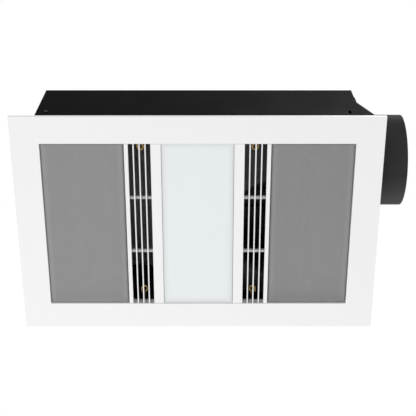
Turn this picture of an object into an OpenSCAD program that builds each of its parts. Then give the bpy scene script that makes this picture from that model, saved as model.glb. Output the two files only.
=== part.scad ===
// Ceiling heater for a bathroom: two heat lamps, a ducted exhaust fan and a light panel.
// Origin: middle of the ceiling cut-out, on the ceiling's lower face.
// +Z points up into the ceiling space and +X towards the duct.

/* [Fascia] */
// Width of the fascia, left to right
fascia_w = 590; // [580:1:610]
// Depth of the fascia, front to back
fascia_d = 380; // [377:1:400]
// Distance from the ceiling down to the fascia's face
fascia_h = 6.5; // [6:0.1:9]
// Thickness of the fascia's moulding
fascia_t = 2.2; // [1.6:0.1:2.6]
// Width of the plain border round the window
border_w = 45; // [43:0.5:47]
// Height of the lip round the window, from the face up
lip_h = 8; // [7.5:0.1:9]
// Thickness of that lip and of the inserts' lips
lip_t = 1.2; // [0.8:0.1:1.6]
// How far the fascia can be pulled down on its springs
fascia_travel = 60; // [30:1:80]

/* [Grilles] */
// Width of the opening for the light panel
light_w = 116; // [110:1:120]
// Width of the wide strip beside the light panel
wide_strip = 16.5; // [14:0.5:19]
// Width of the thin strip beside the mesh
thin_strip = 6.5; // [5.5:0.1:8]
// Number of slots in one grille
slot_count = 4; // [3:1:6]
// Width of one slot
slot_w = 7.4; // [6:0.1:8]
// Width of one upright bar
bar_w = 2; // [1.8:0.1:3]
// Number of cross ribs behind the bars, between the end rails
rib_count = 2; // [1:1:3]
// Thickness of a cross rib
rib_t = 4.5; // [3:0.1:6]
// Height of a cross rib
rib_h = 5; // [3:0.1:7]
// How far the inserts sit back from the fascia's face
insert_recess = 0.2; // [0.1:0.05:0.5]

/* [Mesh guards] */
// Thickness of the mesh guards' sheet
mesh_t = 0.8; // [0.6:0.1:1.2]
// How far the mesh sits back from the fascia's face
mesh_recess = 1.6; // [1:0.1:3]
// Width of the rim by which a mesh guard lies on the lips
mesh_rim = 5; // [4:0.1:5.3]

/* [Housing] */
// Room between the window and the housing's wall at the left and right
side_room = 18; // [17:0.5:24]
// Room between the window and the housing's wall at the front and back
end_room = 20; // [20:0.5:24]
// Height of the housing above the ceiling's lower face
housing_h = 203; // [201:1:230]
// Thickness of the sheet steel
sheet_t = 1; // [0.8:0.1:1.2]
// Width of the flange that lies against the ceiling
flange_w = 15; // [12:1:18]
// Width of the lips that carry the lid
lid_lip = 12; // [10:1:16]
// Distance between the ceiling screws along X
ceiling_pitch = 400; // [300:10:460]
// Radius of the ceiling screw holes
ceiling_hole_r = 2.5; // [2:0.1:3]
// Height of the fixing marks on the near and far walls
wall_fix_z = 87; // [70:1:110]
// Room between the wiring deck's lower face and the lid's top
deck_room = 35; // [31:1:38]
// Height of the wiring deck's rim
deck_rim = 6; // [4:0.5:10]

/* [Fan] */
// Distance from the duct's wall to the fan axis
fan_side = 133; // [131:1:136]
// Room between the scroll's spiral and the far wall
fan_room = 5.8; // [5:0.1:8]
// Height of the scroll's floor
scroll_z = 56; // [54:1:60]
// Thickness of the scroll's sheet
scroll_t = 1.2; // [0.8:0.1:1.4]
// Radius of the impeller in a housing 330 deep; it grows and shrinks with the housing's depth
impeller_size = 88; // [84:1:89]
// How much wider than the impeller the air inlet is, on the radius
inlet_over = 1.5; // [0.5:0.5:3]
// Radius of the inlet ring's rounded mouth
inlet_bell = 14; // [12.5:0.5:15]
// Gap between the impeller and the scroll's tongue
tongue_gap = 7; // [5:0.5:8]
// Width of the scroll's outlet
outlet_w = 120; // [116:1:124]
// Length of the blades, in and out
blade_w = 9; // [7:0.5:9.5]
// Number of blades
blade_count = 36; // [24:1:40]
// Radius of the motor shaft
shaft_r = 4; // [3:0.5:5]
// Radius of the motor
motor_r = 46; // [40:1:50]
// Height of the motor can
motor_h = 30; // [28:1:32]
// Room between the motor's cap and the lid
motor_room = 7.3; // [6:0.1:11]

/* [Duct] */
// Outer radius of the spigot
duct_r = 76; // [73:0.5:77]
// Wall of the duct adaptor
duct_t = 2; // [1.5:0.1:2.5]
// Distance from the near wall to the duct's axis
duct_side = 87.5; // [86:0.5:89]
// How far the duct's axis lies below the middle of the scroll
duct_drop = 14.5; // [12:0.5:16]
// Gap between the damper's flaps and the adaptor's walls
flap_room = 5.5; // [4:0.5:8]
// Thickness of that flange
adaptor_t = 3; // [2.5:0.1:4]
// Length of the hood from square to round
hood_len = 26; // [24:1:32]
// Length of the round spigot
spigot_len = 43; // [36:1:60]

/* [Damper] */
// Radius of the port in the housing wall
port_r = 51; // [48:0.5:51]
// Overlap of the flaps round the port
flap_lap = 5; // [4:0.5:5.5]
// Thickness of a flap
flap_t = 0.8; // [0.6:0.1:1]
// Radius of the hinge pin
pin_r = 1.5; // [1.2:0.1:1.8]

/* [Heat lamps] */
// Gap between a mesh guard's rim and the reflector above it
reflector_gap = 0.7; // [0.5:0.1:2]
// Height of the reflector trough
reflector_h = 31; // [29:1:32]
// Width of the reflector's flat top
reflector_top = 60; // [56:1:66]
// Thickness of the reflector's sheet
reflector_t = 0.8; // [0.6:0.1:1]
// How far the reflector reaches past the window at the front and back
reflector_over = 1; // [0:0.5:2]
// Height of the lamp's axis
lamp_z = 15; // [14:0.5:17]
// Radius of the quartz tube
lamp_r = 5; // [4.5:0.1:6]
// Wall of the quartz tube
lamp_t = 1; // [0.8:0.1:1.2]
// Distance from the reflector's end to the quartz tube's end
lamp_end = 28; // [26:1:36]
// Radius of the ceramic end caps
cap_r = 7; // [6.5:0.1:8]

/* [Light panel] */
// Gap round the light panel
panel_gap = 0.5; // [0.4:0.1:0.9]
// How far the diffuser sits back from the fascia's face
light_recess = 1; // [0.6:0.1:2]
// Thickness of the diffuser
diffuser_t = 2; // [1.5:0.1:2.5]
// Height of the light tray
tray_h = 19.5; // [17:0.5:22]
// Number of diode rows along the light panel
led_rows = 14; // [8:1:18]

/* [Hooks and springs] */
// Radius of the brass hooks' wire
hook_r = 1.6; // [1.2:0.1:1.7]
// Radius of the hook's loop, to the middle of the wire
hook_loop = 4.85; // [4.5:0.05:5.5]
// Reach of a hook from the wall to the middle of its loop
hook_reach = 33.7; // [30:0.1:36]
// Height of the hooks
hook_z = 20.5; // [19:0.5:23]
// Radius of the fascia springs' wire
spring_wire = 0.5; // [0.4:0.05:0.6]
// Radius of the fascia springs, to the middle of the wire
spring_r = 3.5; // [3:0.1:3.8]
// How far one turn of a fascia spring opens when the fascia is pulled down
turn_reach = 3.75; // [3.5:0.05:6]
// Distance of the spring anchors from the mesh guards' nearest tabs
anchor_reach = 14; // [13:0.5:18]
// Height of the spring anchors
anchor_z = 6; // [4:0.5:8]

/* [Hidden] */
$fn = 48;
eps = 0.01;
fit = 0.1;            // gap of a screw in its hole
run_fit = 0.05;       // gap of a shaft or pin that turns
air = 0.3;            // gap between pieces that pass each other
head_r = 3.2;         // pan head screws, all of one size
head_h = 2;
shank_r = 1.7;

// Window of the fascia and the places of the inserts in it
window_w = fascia_w - 2 * border_w;
window_d = fascia_d - 2 * border_w;
face_z = -fascia_h;
lip_top = face_z + lip_h;
insert_z = face_z + insert_recess;
slots_w = slot_count * slot_w + (slot_count - 1) * bar_w;
grille_x0 = light_w / 2;
slots_x0 = grille_x0 + wide_strip;
slots_x1 = slots_x0 + slots_w;
grille_x1 = slots_x1 + thin_strip;
grille_x = slots_x0 + slots_w / 2;
mesh_x0 = grille_x1 + fit;
mesh_x1 = window_w / 2 - fit;
mesh_x = (mesh_x0 + mesh_x1) / 2;
mesh_z = face_z + mesh_recess;
rail_over = 0.5;                    // end rails' middle past the window's edge
rail_y = window_d / 2 + rail_over;
rib_pitch = 2 * rail_y / (rib_count + 1);

// Housing
hx = window_w / 2 + side_room;
hy = window_d / 2 + end_room;
inner_x = hx - sheet_t;
inner_y = hy - sheet_t;
lid_z = housing_h - sheet_t;
deck_z = housing_h - deck_room;
channel_y = window_d / 2 + 7;       // row of bosses and screws between window and wall
spring_y = inner_y - 7;             // plane of the fascia springs

// Motor and scroll, from the lid down
cap_h = 3.5;
motor_z1 = lid_z - motor_room - cap_h;
motor_z0 = motor_z1 - motor_h;
cover_top = motor_z0;
scroll_top = cover_top - scroll_t;
scroll_h = scroll_top - scroll_z;
port_z = scroll_z + scroll_h / 2;
duct_z = port_z - duct_drop;
duct_y = duct_side - hy;

// Fan, in plan
design_y = 164;       // inner half depth of the housing that impeller_size is given for
impeller_r = impeller_size * inner_y / design_y;
inlet_r = impeller_r + inlet_over;
tongue_r = impeller_r + tongue_gap;
far_share = 0.4;      // share of the spiral's growth at its far side
outlet_y0 = duct_y - outlet_w / 2;
outlet_y1 = duct_y + outlet_w / 2;
fan_x = hx - fan_side;
fan_y = (inner_y - fan_room - (1 - far_share) * tongue_r + far_share * outlet_y0) / (1 + far_share);
scroll_r1 = fan_y - outlet_y0;
tongue_a = asin((outlet_y1 - fan_y) / tongue_r);
throat_r = inlet_r - inlet_bell;
blade_r = impeller_r - blade_w;
impeller_z0 = scroll_z + inlet_bell - 3;
impeller_z1 = scroll_top - 10;
hub_r = 10;
hub_z0 = impeller_z1 - 20;
nut_h = 6;
ear_r = motor_r + 9;
ear_t = 2;
can_t = 1.5;
bearing_r = 9;
bearing_h = 8;
rotor_r = motor_r / 2;
rotor_gap = 0.6;
rotor_z0 = motor_z0 + ear_t + bearing_h + 1;
rotor_z1 = motor_z1 - bearing_h - 1;

// Duct and damper
duct_x0 = hx + adaptor_t;
duct_x1 = duct_x0 + hood_len;
duct_x2 = duct_x1 + spigot_len;
flap_r = port_r + flap_lap;
flange_edge = 5;      // the square flange's edge round the hood
hood_half = flap_r + duct_drop + flap_room + duct_t;
adaptor_side = 2 * (hood_half + flange_edge);
flap_x0 = hx + 0.4;
knuckle_r = pin_r + 1.7;
pin_x = flap_x0 + flap_t + 0.4 + knuckle_r;
pin_z0 = duct_z - hood_half + duct_t + 0.6;
pin_z1 = duct_z + hood_half - duct_t - 0.6;
corner_pad = adaptor_side / 2 - 9;

// Reflector, lamp
reflector_len = window_d + 2 * reflector_over;
lamp_len = reflector_len - 2 * lamp_end;
rim_half = (mesh_x1 - mesh_x0) / 2 + 1;
reflector_z = lip_top + mesh_t + reflector_gap;
reflector_top_z = reflector_z + reflector_h;
cap_len = 22;
cap_grip = 8;
holder_y = lamp_len / 2 + 3;
holder_t = 8;

// Light panel
panel_x = light_w / 2 - panel_gap;
panel_y = window_d / 2 - panel_gap;
panel_z = face_z + light_recess;
rim_t = 1.6;
rim_h = 7;
tray_t = 0.8;
tray_x = panel_x - rim_t - air;
tray_y = panel_y - rim_t - air;
tray_z0 = panel_z + diffuser_t;
tray_z1 = tray_z0 + tray_h;
bracket_t = 1.5;
board_t = 1.6;
chip_t = 0.8;

white = [0.94, 0.94, 0.94];
black = [0.14, 0.14, 0.14];
steel = [0.7, 0.71, 0.72];
brass = [0.69, 0.55, 0.29];

// Helpers

module at(p) { translate(p) children(); }

// copies a child into the other three quarters of the plan
module four_ways() {
    for (sx = [-1, 1]) for (sy = [-1, 1]) scale_mirror(sx, sy) children();
}

module scale_mirror(sx, sy) {
    mirror([sx < 0 ? 1 : 0, 0, 0]) mirror([0, sy < 0 ? 1 : 0, 0]) children();
}

// copies a child to the left and right halves
module both_sides() {
    children();
    mirror([1, 0, 0]) children();
}

module block(x0, x1, y0, y1, z0, z1) {
    at([x0, y0, z0]) cube([x1 - x0, y1 - y0, z1 - z0]);
}

// pan head screw, head's seat at the origin, shank down -Z
module screw(len) {
    difference() {
        cylinder(r = head_r, h = head_h);
        at([0, 0, head_h - 0.9]) for (a = [0, 90]) rotate(a) translate([-2, -0.4, 0]) cube([4, 0.8, 1]);
    }
    translate([0, 0, -len]) cylinder(r = shank_r, h = len + eps);
}

module hole(len) { translate([0, 0, -len / 2]) cylinder(r = shank_r + fit, h = len); }

// a straight tube along X, Y or Z between two solids of revolution
module ring(r_out, r_in, h) {
    difference() {
        cylinder(r = r_out, h = h);
        translate([0, 0, -eps]) cylinder(r = r_in, h = h + 2 * eps);
    }
}

// A tube swept along points. guide is the direction that the rings' first corner turns away from.
function unit(v) = v / norm(v);
function tangent(p, i) = unit(p[min(i + 1, len(p) - 1)] - p[max(i - 1, 0)]);

module tube(p, guide, r, sides) {
    n = len(p);
    rings = [for (i = [0:n - 1])
        let (t = tangent(p, i), u = unit(cross(t, guide[i])), v = cross(t, u))
        for (k = [0:sides - 1]) p[i] + r * (cos(360 * k / sides) * u + sin(360 * k / sides) * v)];
    skin = [for (i = [0:n - 2]) for (k = [0:sides - 1])
        let (a = i * sides + k, b = i * sides + (k + 1) % sides)
        for (f = [[a, a + sides, b + sides], [a, b + sides, b]]) f];
    first = [for (k = [1:sides - 2]) [0, k, k + 1]];
    z = (n - 1) * sides;
    last = [for (k = [1:sides - 2]) [z, z + k + 1, z + k]];
    polyhedron(points = rings, faces = concat(skin, first, last), convexity = 10);
}

// smooth line through chosen points
function spline(a, b, c, d, t) =
    0.5 * (2 * b + (c - a) * t + (2 * a - 5 * b + 4 * c - d) * t * t + (3 * b - a - 3 * c + d) * t * t * t);
function smooth(p, steps) = concat(
    [for (i = [0:len(p) - 2]) for (k = [0:steps - 1])
        spline(p[max(i - 1, 0)], p[i], p[i + 1], p[min(i + 2, len(p) - 1)], k / steps)],
    [p[len(p) - 1]]);

// Fascia

module frame_boss(x, y, top) {
    at([x, y, face_z + fascia_t - eps]) ring(3.4, 1.3, top - face_z - fascia_t + eps);
}

tab_share = 0.75;     // spread of the mesh guard's tabs over its half width
tab_x = tab_share * (mesh_x1 - mesh_x0) / 2;
boss_x = [slots_x0 - 6, mesh_x - tab_x, mesh_x + tab_x];
anchor_x = boss_x[1] + anchor_reach;

module fascia_frame() {
    color(white) {
        difference() {
            block(-fascia_w / 2, fascia_w / 2, -fascia_d / 2, fascia_d / 2, face_z, 0);
            block(-fascia_w / 2 + fascia_t, fascia_w / 2 - fascia_t,
                  -fascia_d / 2 + fascia_t, fascia_d / 2 - fascia_t, face_z + fascia_t, 1);
            block(-window_w / 2, window_w / 2, -window_d / 2, window_d / 2, face_z - 1, 1);
        }
        difference() {
            block(-window_w / 2 - lip_t, window_w / 2 + lip_t,
                  -window_d / 2 - lip_t, window_d / 2 + lip_t, face_z + fascia_t / 2, lip_top);
            block(-window_w / 2, window_w / 2, -window_d / 2, window_d / 2, face_z - 1, lip_top + 1);
        }
        four_ways() {
            for (x = boss_x) frame_boss(x, channel_y, lip_top);
            // pads that steady the fascia under the housing's flange
            for (x = [60, 200]) block(x, x + 12, hy + 3, hy + 6, face_z + fascia_t - eps, -sheet_t - air);
            block(hx + 3, hx + 6, 80, 92, face_z + fascia_t - eps, -sheet_t - air);
        }
    }
}

// Air grille with its two strips, drawn for the right-hand side
module grille() {
    strip_t = fascia_t - insert_recess;
    half_y = window_d / 2 - fit;
    color(white) {
        difference() {
            block(grille_x0, grille_x1 - fit, -half_y, half_y, insert_z, lip_top);
            block(grille_x0 + lip_t, slots_x0 - lip_t, -half_y - 1, half_y + 1, insert_z + strip_t, lip_top + 1);
            block(slots_x1 + lip_t, grille_x1 - fit - lip_t, -half_y - 1, half_y + 1,
                  insert_z + strip_t, lip_top + 1);
            for (i = [0:slot_count - 1])
                at([slots_x0 + i * (slot_w + bar_w), -half_y - 1, insert_z - 1])
                    cube([slot_w, 2 * half_y + 2, lip_h + 3]);
        }
        for (i = [1:rib_count]) at([0, i * rib_pitch - rail_y, 0])
            block(grille_x0, slots_x1 + lip_t, -rib_t / 2, rib_t / 2, lip_top - eps, lip_top + rib_h);
        for (s = [0, 1]) mirror([0, s, 0]) {
            block(grille_x0, slots_x1 + lip_t, rail_y - rib_t / 2, rail_y + rib_t / 2,
                  lip_top, lip_top + rib_h);
            difference() {
                block(slots_x0 - 12, slots_x0, rail_y, channel_y + 4, lip_top, lip_top + 2);
                at([boss_x[0], channel_y, lip_top + 1]) hole(6);
            }
        }
    }
}
module grille_right() { grille(); }
module grille_left() { mirror([1, 0, 0]) grille(); }

// Mesh guard: a shallow pan whose floor is the mesh, drawn for the right-hand side
module mesh_guard() {
    half_y = window_d / 2 - fit;
    rim_z = lip_top;
    color([0.56, 0.56, 0.56]) {
        difference() {
            union() {
                block(mesh_x0, mesh_x1, -half_y, half_y, mesh_z, rim_z + mesh_t);
                block(mesh_x0, mesh_x1 + mesh_rim, -half_y - mesh_rim, half_y + mesh_rim,
                      rim_z, rim_z + mesh_t);
            }
            block(mesh_x0 + mesh_t, mesh_x1 - mesh_t, -half_y + mesh_t, half_y - mesh_t,
                  mesh_z + mesh_t, rim_z + mesh_t + 1);
        }
        for (s = [0, 1]) mirror([0, s, 0]) for (x = [boss_x[1], boss_x[2]])
            difference() {
                block(x - 6, x + 6, half_y + mesh_rim - eps, channel_y + 4, rim_z, rim_z + mesh_t);
                at([x, channel_y, rim_z]) hole(4);
            }
    }
}
module mesh_guard_right() { mesh_guard(); }
module mesh_guard_left() { mirror([1, 0, 0]) mesh_guard(); }

module fascia_screws() {
    color(steel) four_ways() {
        at([boss_x[0], channel_y, lip_top + 2]) boss_screw(4);
        for (i = [1, 2]) at([boss_x[i], channel_y, lip_top + mesh_t]) boss_screw(4);
    }
}
module boss_screw(len) {
    cylinder(r = head_r, h = head_h);
    translate([0, 0, -len]) cylinder(r = 1.3, h = len + eps);
}

// Bracket on the fascia's back with the pin that a spring hooks on
module spring_anchors() {
    foot_z = face_z + fascia_t;
    color(steel) four_ways() {
        block(anchor_x - 7, anchor_x + 7, spring_y - 6.5, spring_y + 4, foot_z, foot_z + 1.5);
        block(anchor_x - 7, anchor_x + 7, spring_y - 6.5, spring_y - 5, foot_z, anchor_z + 4);
        at([anchor_x, spring_y - 5 - eps, anchor_z]) rotate([-90, 0, 0]) cylinder(r = 1.4, h = 8);
    }
}

// Fascia spring: one wire with a loop at each end, from a hook's stem to its anchor
hook_bend = 3;
hook_turn = 54;
hook_leg = 8;
hook_stem_x = grille_x - (hook_loop + hook_bend) * cos(hook_turn) + hook_bend;
spring_from = [hook_stem_x, spring_y, hook_z];
spring_to = [anchor_x, spring_y, anchor_z];
spring_dir = unit(spring_to - spring_from);
spring_side = [0, 1, 0];
spring_up = cross(spring_dir, spring_side);
spring_len = norm(spring_to - spring_from);
spring_turns = ceil(fascia_travel / turn_reach);
loop_r = hook_r + air + spring_wire;
coil_from = 9;
coil_to = spring_len - 9;
ring_steps = 8;
function in_spring(s, n, b) = spring_from + s * spring_dir + n * spring_up + b * spring_side;
function coil_r(k, total) = loop_r + (spring_r - loop_r) * min(1, k / 4, (total - k) / 4);
loop_a = [for (a = [360:-30:90]) in_spring(loop_r * cos(a), loop_r * sin(a), 0)];
coil_total = spring_turns * ring_steps;
coil = [for (k = [0:coil_total])
    let (a = 360 * k / ring_steps, r = coil_r(k, coil_total))
    in_spring(coil_from + (coil_to - coil_from) * k / coil_total, r * cos(a), r * sin(a))];
loop_b = [for (a = [90:-30:-180]) in_spring(spring_len + loop_r * cos(a), loop_r * sin(a), 0)];
spring_path = concat(loop_a, coil, loop_b);
spring_guide = concat([for (p = loop_a) spring_side],
    [for (i = [0:coil_total]) cross(cross(spring_dir, tangent(coil, i)), tangent(coil, i))],
    [for (p = loop_b) spring_side]);
spring_gap = min([for (i = [0:len(spring_path) - 1]) for (j = [i + 5:1:len(spring_path) - 1])
    norm(spring_path[i] - spring_path[j])]) - 2 * spring_wire;
echo("least gap between turns of a fascia spring", spring_gap);

module fascia_springs() {
    color(steel) four_ways() tube(spring_path, spring_guide, spring_wire, 6);
}

// Brass cup hook through the housing wall, drawn for the right far corner:
// a short leg, the loop, a bend back and a straight stem
loop_y = inner_y - hook_reach;
bend_x = -(hook_loop + hook_bend) * cos(hook_turn);
bend_y = (hook_loop + hook_bend) * sin(hook_turn);
hook_path = concat(
    [[hook_loop, hook_leg, 0], [hook_loop, hook_leg / 2, 0]],
    [for (a = [0:-18:-180 - hook_turn]) hook_loop * [cos(a), sin(a), 0]],
    [for (a = [18 - hook_turn:18:0]) [bend_x + hook_bend * cos(a), bend_y + hook_bend * sin(a), 0]],
    [[bend_x + hook_bend, hy + 7 - loop_y, 0]]);

module hook() {
    at([grille_x, loop_y, hook_z]) tube(hook_path, [for (p = hook_path) [0, 0, 1]], hook_r, 12);
    at([hook_stem_x, inner_y - 1.5, hook_z]) rotate([-90, 0, 0]) ring(3.6, hook_r - 0.2, 1.5);
}
module spring_hooks() { color(brass) four_ways() hook(); }

module hook_nuts() {
    color(brass) four_ways() at([hook_stem_x, hy, hook_z]) rotate([-90, 0, 0]) difference() {
        cylinder(r = 4, h = 3.2, $fn = 6);
        translate([0, 0, -1]) cylinder(r = hook_r + run_fit, h = 6, $fn = 24);
    }
}

// Housing

module slot_hole(x, z) {
    for (s = [-1, 1]) at([x, 0, z + s * 6]) rotate([90, 0, 0]) cylinder(r = 2.4, h = 4, center = true);
    at([x - 2.4, -2, z - 6]) cube([4.8, 4, 12]);
}

wall_fix_x = hx - 17;
gland_y = 60;
gland_nut_r = 11.5;
gland_z = lid_z - sheet_t - 0.5 - gland_nut_r;
gland_r = 8;
tab_z = reflector_top_z + 7;
tray_tab_z = tray_z1 + bracket_t + 7;

module housing_flange() {
    color(black) difference() {
        block(-hx - flange_w, hx + flange_w, -hy - flange_w, hy + flange_w, -sheet_t, 0);
        block(-hx, hx, -hy, hy, -sheet_t - 1, 1);
        four_ways() at([ceiling_pitch / 2, hy + flange_w / 2, 0])
            cylinder(r = ceiling_hole_r, h = 4, center = true);
    }
}

// near and far walls
module housing_sides() {
    color(black) difference() {
        for (s = [0, 1]) mirror([0, s, 0]) block(-hx, hx, inner_y, hy, -sheet_t, lid_z);
        four_ways() {
            at([hook_stem_x, hy, hook_z]) rotate([90, 0, 0])
                cylinder(r = hook_r + fit, h = 6, center = true, $fn = 24);
            at([mesh_x, hy, tab_z]) rotate([90, 0, 0]) hole(6);
        }
        for (s = [0, 1]) mirror([0, s, 0]) {
            at([0, -hy + 0.5, 0]) slot_hole(wall_fix_x, wall_fix_z);
            at([-wall_fix_x, -hy, wall_fix_z]) rotate([90, 0, 0]) hole(6);
            at([0, hy, tray_tab_z]) rotate([90, 0, 0]) hole(6);
        }
    }
}

// left wall with the cable entry and right wall with the air port
module housing_ends() {
    color(black) difference() {
        both_sides() block(inner_x, hx, -inner_y, inner_y, -sheet_t, lid_z);
        at([hx, duct_y, port_z]) rotate([0, 90, 0]) cylinder(r = port_r, h = 6, center = true, $fn = 96);
        adaptor_corners() rotate([0, 90, 0]) hole(8);
        at([-hx, gland_y, gland_z]) rotate([0, 90, 0]) cylinder(r = gland_r + fit, h = 6, center = true);
    }
}

module lid_ledge() {
    color(black) difference() {
        block(-inner_x, inner_x, -inner_y, inner_y, lid_z - sheet_t, lid_z);
        block(-inner_x + lid_lip, inner_x - lid_lip, -inner_y + lid_lip, inner_y - lid_lip,
              lid_z - 2 * sheet_t, lid_z + 1);
        for (p = lid_points) at([p[0], p[1], lid_z]) hole(6);
    }
}

lid_points = [for (x = [-hx + 7, 0, hx - 7]) for (y = [-hy + 7, hy - 7]) [x, y]];
bead_r = 12;
bead_h = 2.5;

module bead(x0, x1, y) {
    intersection() {
        at([x0, y, housing_h + bead_h - bead_r]) rotate([0, 90, 0]) cylinder(r = bead_r, h = x1 - x0);
        block(x0, x1, y - bead_r, y + bead_r, lid_z + 0.5, housing_h + bead_h);
    }
}

module housing_lid() {
    color(black) {
        difference() {
            block(-hx, hx, -hy, hy, lid_z, housing_h);
            for (p = lid_points) at([p[0], p[1], lid_z]) hole(6);
            for (p = post_points) at([p[0], p[1], lid_z]) hole(6);
        }
        for (y = [-hy * 0.6, 0, hy * 0.6]) bead(-hx + 40, fan_x - 100, y);
    }
}

// screws of the lid, of the fan posts and in the two round wall fixings
module lid_screws() {
    color(steel) {
        for (p = lid_points) at([p[0], p[1], housing_h]) screw(6);
        for (p = post_points) at([p[0], p[1], housing_h]) screw(8);
        for (s = [0, 1]) mirror([0, s, 0])
            at([-wall_fix_x, -hy, wall_fix_z]) rotate([90, 0, 0]) screw(6);
    }
}

deck_x1 = fan_x - scroll_radius(180) - scroll_t - 4;
lead_holes = [[117 - inner_x, 64 - inner_y], [deck_x1 - 15, gland_y]];
module wiring_deck() {
    color(black) {
        difference() {
            block(-inner_x, deck_x1, -inner_y, inner_y, deck_z, deck_z + sheet_t);
            for (p = lead_holes) at([p[0], p[1], deck_z]) cylinder(r = 9, h = 4, center = true);
        }
        difference() {
            block(-inner_x, deck_x1, -inner_y, inner_y, deck_z, deck_z + deck_rim);
            block(-inner_x + sheet_t, deck_x1 - sheet_t, -inner_y + sheet_t, inner_y - sheet_t,
                  deck_z - 1, deck_z + deck_rim + 1);
            block(-inner_x - 1, -inner_x + 2, gland_y - gland_nut_r - 1, gland_y + gland_nut_r + 1,
                  deck_z + sheet_t, deck_z + deck_rim + 1);
        }
    }
}

deck_top = deck_z + sheet_t;
ways = 6;
way_pitch = 11;
way_r = 2;
block_x = 57 - inner_x;
block_y = gland_y + 1;
block_w = 22;
block_h = 17;
block_foot = 12;
function way_x(i) = block_x + (i + 0.5) * way_pitch;

module terminal_block() {
    color([0.93, 0.92, 0.88]) difference() {
        union() {
            block(block_x, block_x + ways * way_pitch, block_y - block_w / 2, block_y + block_w / 2,
                  deck_top, deck_top + block_foot);
            for (i = [0:ways - 1])
                block(way_x(i) - way_pitch / 2 + 1, way_x(i) + way_pitch / 2 - 1,
                      block_y - block_w / 2 + 4, block_y + block_w / 2 - 4, deck_top, deck_top + block_h);
        }
        for (i = [0:ways - 1]) at([way_x(i), block_y, deck_top + block_foot - way_r]) {
            cylinder(r = way_r, h = block_h);
            rotate([90, 0, 0]) translate([0, -2 * way_r, 0]) cylinder(r = way_r, h = 2 * block_w, center = true);
        }
    }
}

capacitor_l = 48;
capacitor_w = 24;
capacitor_h = 20;
foot_l = 4;
foot_h = 3;
module fan_capacitor() {
    color([0.9, 0.9, 0.88]) at([deck_x1 - 34, -inner_y + 116, deck_top]) {
        block(-capacitor_l, 0, -capacitor_w / 2, capacitor_w / 2, 0, capacitor_h);
        block(-capacitor_l - foot_l, foot_l, -capacitor_w / 4, capacitor_w / 4, 0, foot_h);
    }
}

driver_l = 120;
driver_w = 42;
driver_h = 22;
driver_foot = 10;
module light_driver() {
    color([0.92, 0.92, 0.92]) at([37 - inner_x, 1, deck_top]) {
        block(0, driver_l, -driver_w / 2, driver_w / 2, 0, driver_h);
        block(-driver_foot, driver_l + driver_foot, -driver_w / 5, driver_w / 5, 0, foot_h);
    }
}

module cable_gland() {
    color(black) at([-hx, gland_y, gland_z]) rotate([0, -90, 0]) difference() {
        union() {
            translate([0, 0, -sheet_t - 9]) cylinder(r = gland_r, h = 12 + sheet_t);
            cylinder(r = 11, h = 5, $fn = 6);
            translate([0, 0, 5 - eps]) cylinder(r = 9.5, h = 4);
            translate([0, 0, 9 - 2 * eps]) cylinder(r1 = 9.5, r2 = 6.5, h = 9);
        }
        translate([0, 0, -20]) cylinder(r = 4.5, h = 60);
    }
}

module gland_nut() {
    color(black) at([-inner_x, gland_y, gland_z]) rotate([0, 90, 0]) difference() {
        cylinder(r = gland_nut_r, h = 5, $fn = 6);
        translate([0, 0, -1]) cylinder(r = gland_r, h = 8);
    }
}

// Insulated leads inside the housing, from the terminals through the deck to lamps, fan and light
lead_r = 1.6;
lead_x = mesh_x + 20.75;
lead_y = -reflector_len / 2 - 1;
lead_z = reflector_top_z - 14;
lead_routes = [
    [[way_x(1), block_y - 12, deck_top + 6], [way_x(0), block_y - 23, deck_top + 5],
     [27 - inner_x, 28, deck_top + 5], [17 - inner_x, 0, deck_top + 4], [27 - inner_x, -40, deck_top + 4],
     [67 - inner_x, 79 - inner_y, deck_top + 4], [109 - inner_x, 65 - inner_y, deck_top + 3],
     [117 - inner_x, 63 - inner_y, deck_z - 12], [105 - inner_x, 36 - inner_y, deck_z - 48],
     [6 - lead_x, 12 - inner_y, lead_z + 50], [-lead_x, 8 - inner_y, lead_z + 22],
     [-lead_x, 9 - inner_y, lead_z + 4], [-lead_x, lead_y, lead_z]],
    [[way_x(2), block_y - 12, deck_top + 6], [way_x(2) + 7, block_y - 27, deck_top + 5],
     [147 - inner_x, block_y - 27, deck_top + 5], [deck_x1 - 42, gland_y - 18, deck_top + 5],
     [deck_x1 - 20, gland_y - 3, deck_z + 5], [deck_x1 - 15, gland_y, deck_z - 10],
     [deck_x1 - 14, gland_y + 4, deck_z - 68], [deck_x1 - 8, gland_y + 2, tray_z1 + 44],
     [deck_x1 / 2 + 1, gland_y - 4, tray_z1 + 20], [0, gland_y - 10, tray_z1 + 12],
     [0, gland_y - 10, tray_z1 + 0.3]],
    [[way_x(3), block_y + 12, deck_top + 6], [way_x(3) + 12, block_y + 35, deck_top + 6],
     [167 - inner_x, inner_y - 46, deck_top + 6], [deck_x1 - 18, inner_y - 44, deck_top + 14],
     [deck_x1 + 28, inner_y - 52, cover_top + 14], [fan_x - 91, fan_y + 51, cover_top + 12],
     [fan_x - motor_r - 23, fan_y + 14, motor_z0 + 14], [fan_x - motor_r - 6, fan_y + 12, motor_z0 + 14],
     [fan_x - motor_r + 0.6, fan_y + 12, motor_z0 + 14]],
    [[42 - lead_x, lead_y, lead_z], [44 - lead_x, 9 - inner_y, lead_z + 4], [54 - lead_x, 7 - inner_y, lead_z + 20],
     [-60, 5 - inner_y, lead_z + 26], [60, 5 - inner_y, lead_z + 26], [lead_x - 54, 7 - inner_y, lead_z + 20],
     [lead_x - 44, 9 - inner_y, lead_z + 4], [lead_x - 42, lead_y, lead_z]]
];

module wiring_loom() {
    color([0.75, 0.2, 0.15]) for (route = lead_routes) {
        path = smooth(route, 4);
        tube(path, [for (p = path) [0.41, 0.77, 0.49]], lead_r, 8);
    }
}

// Fan

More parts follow.
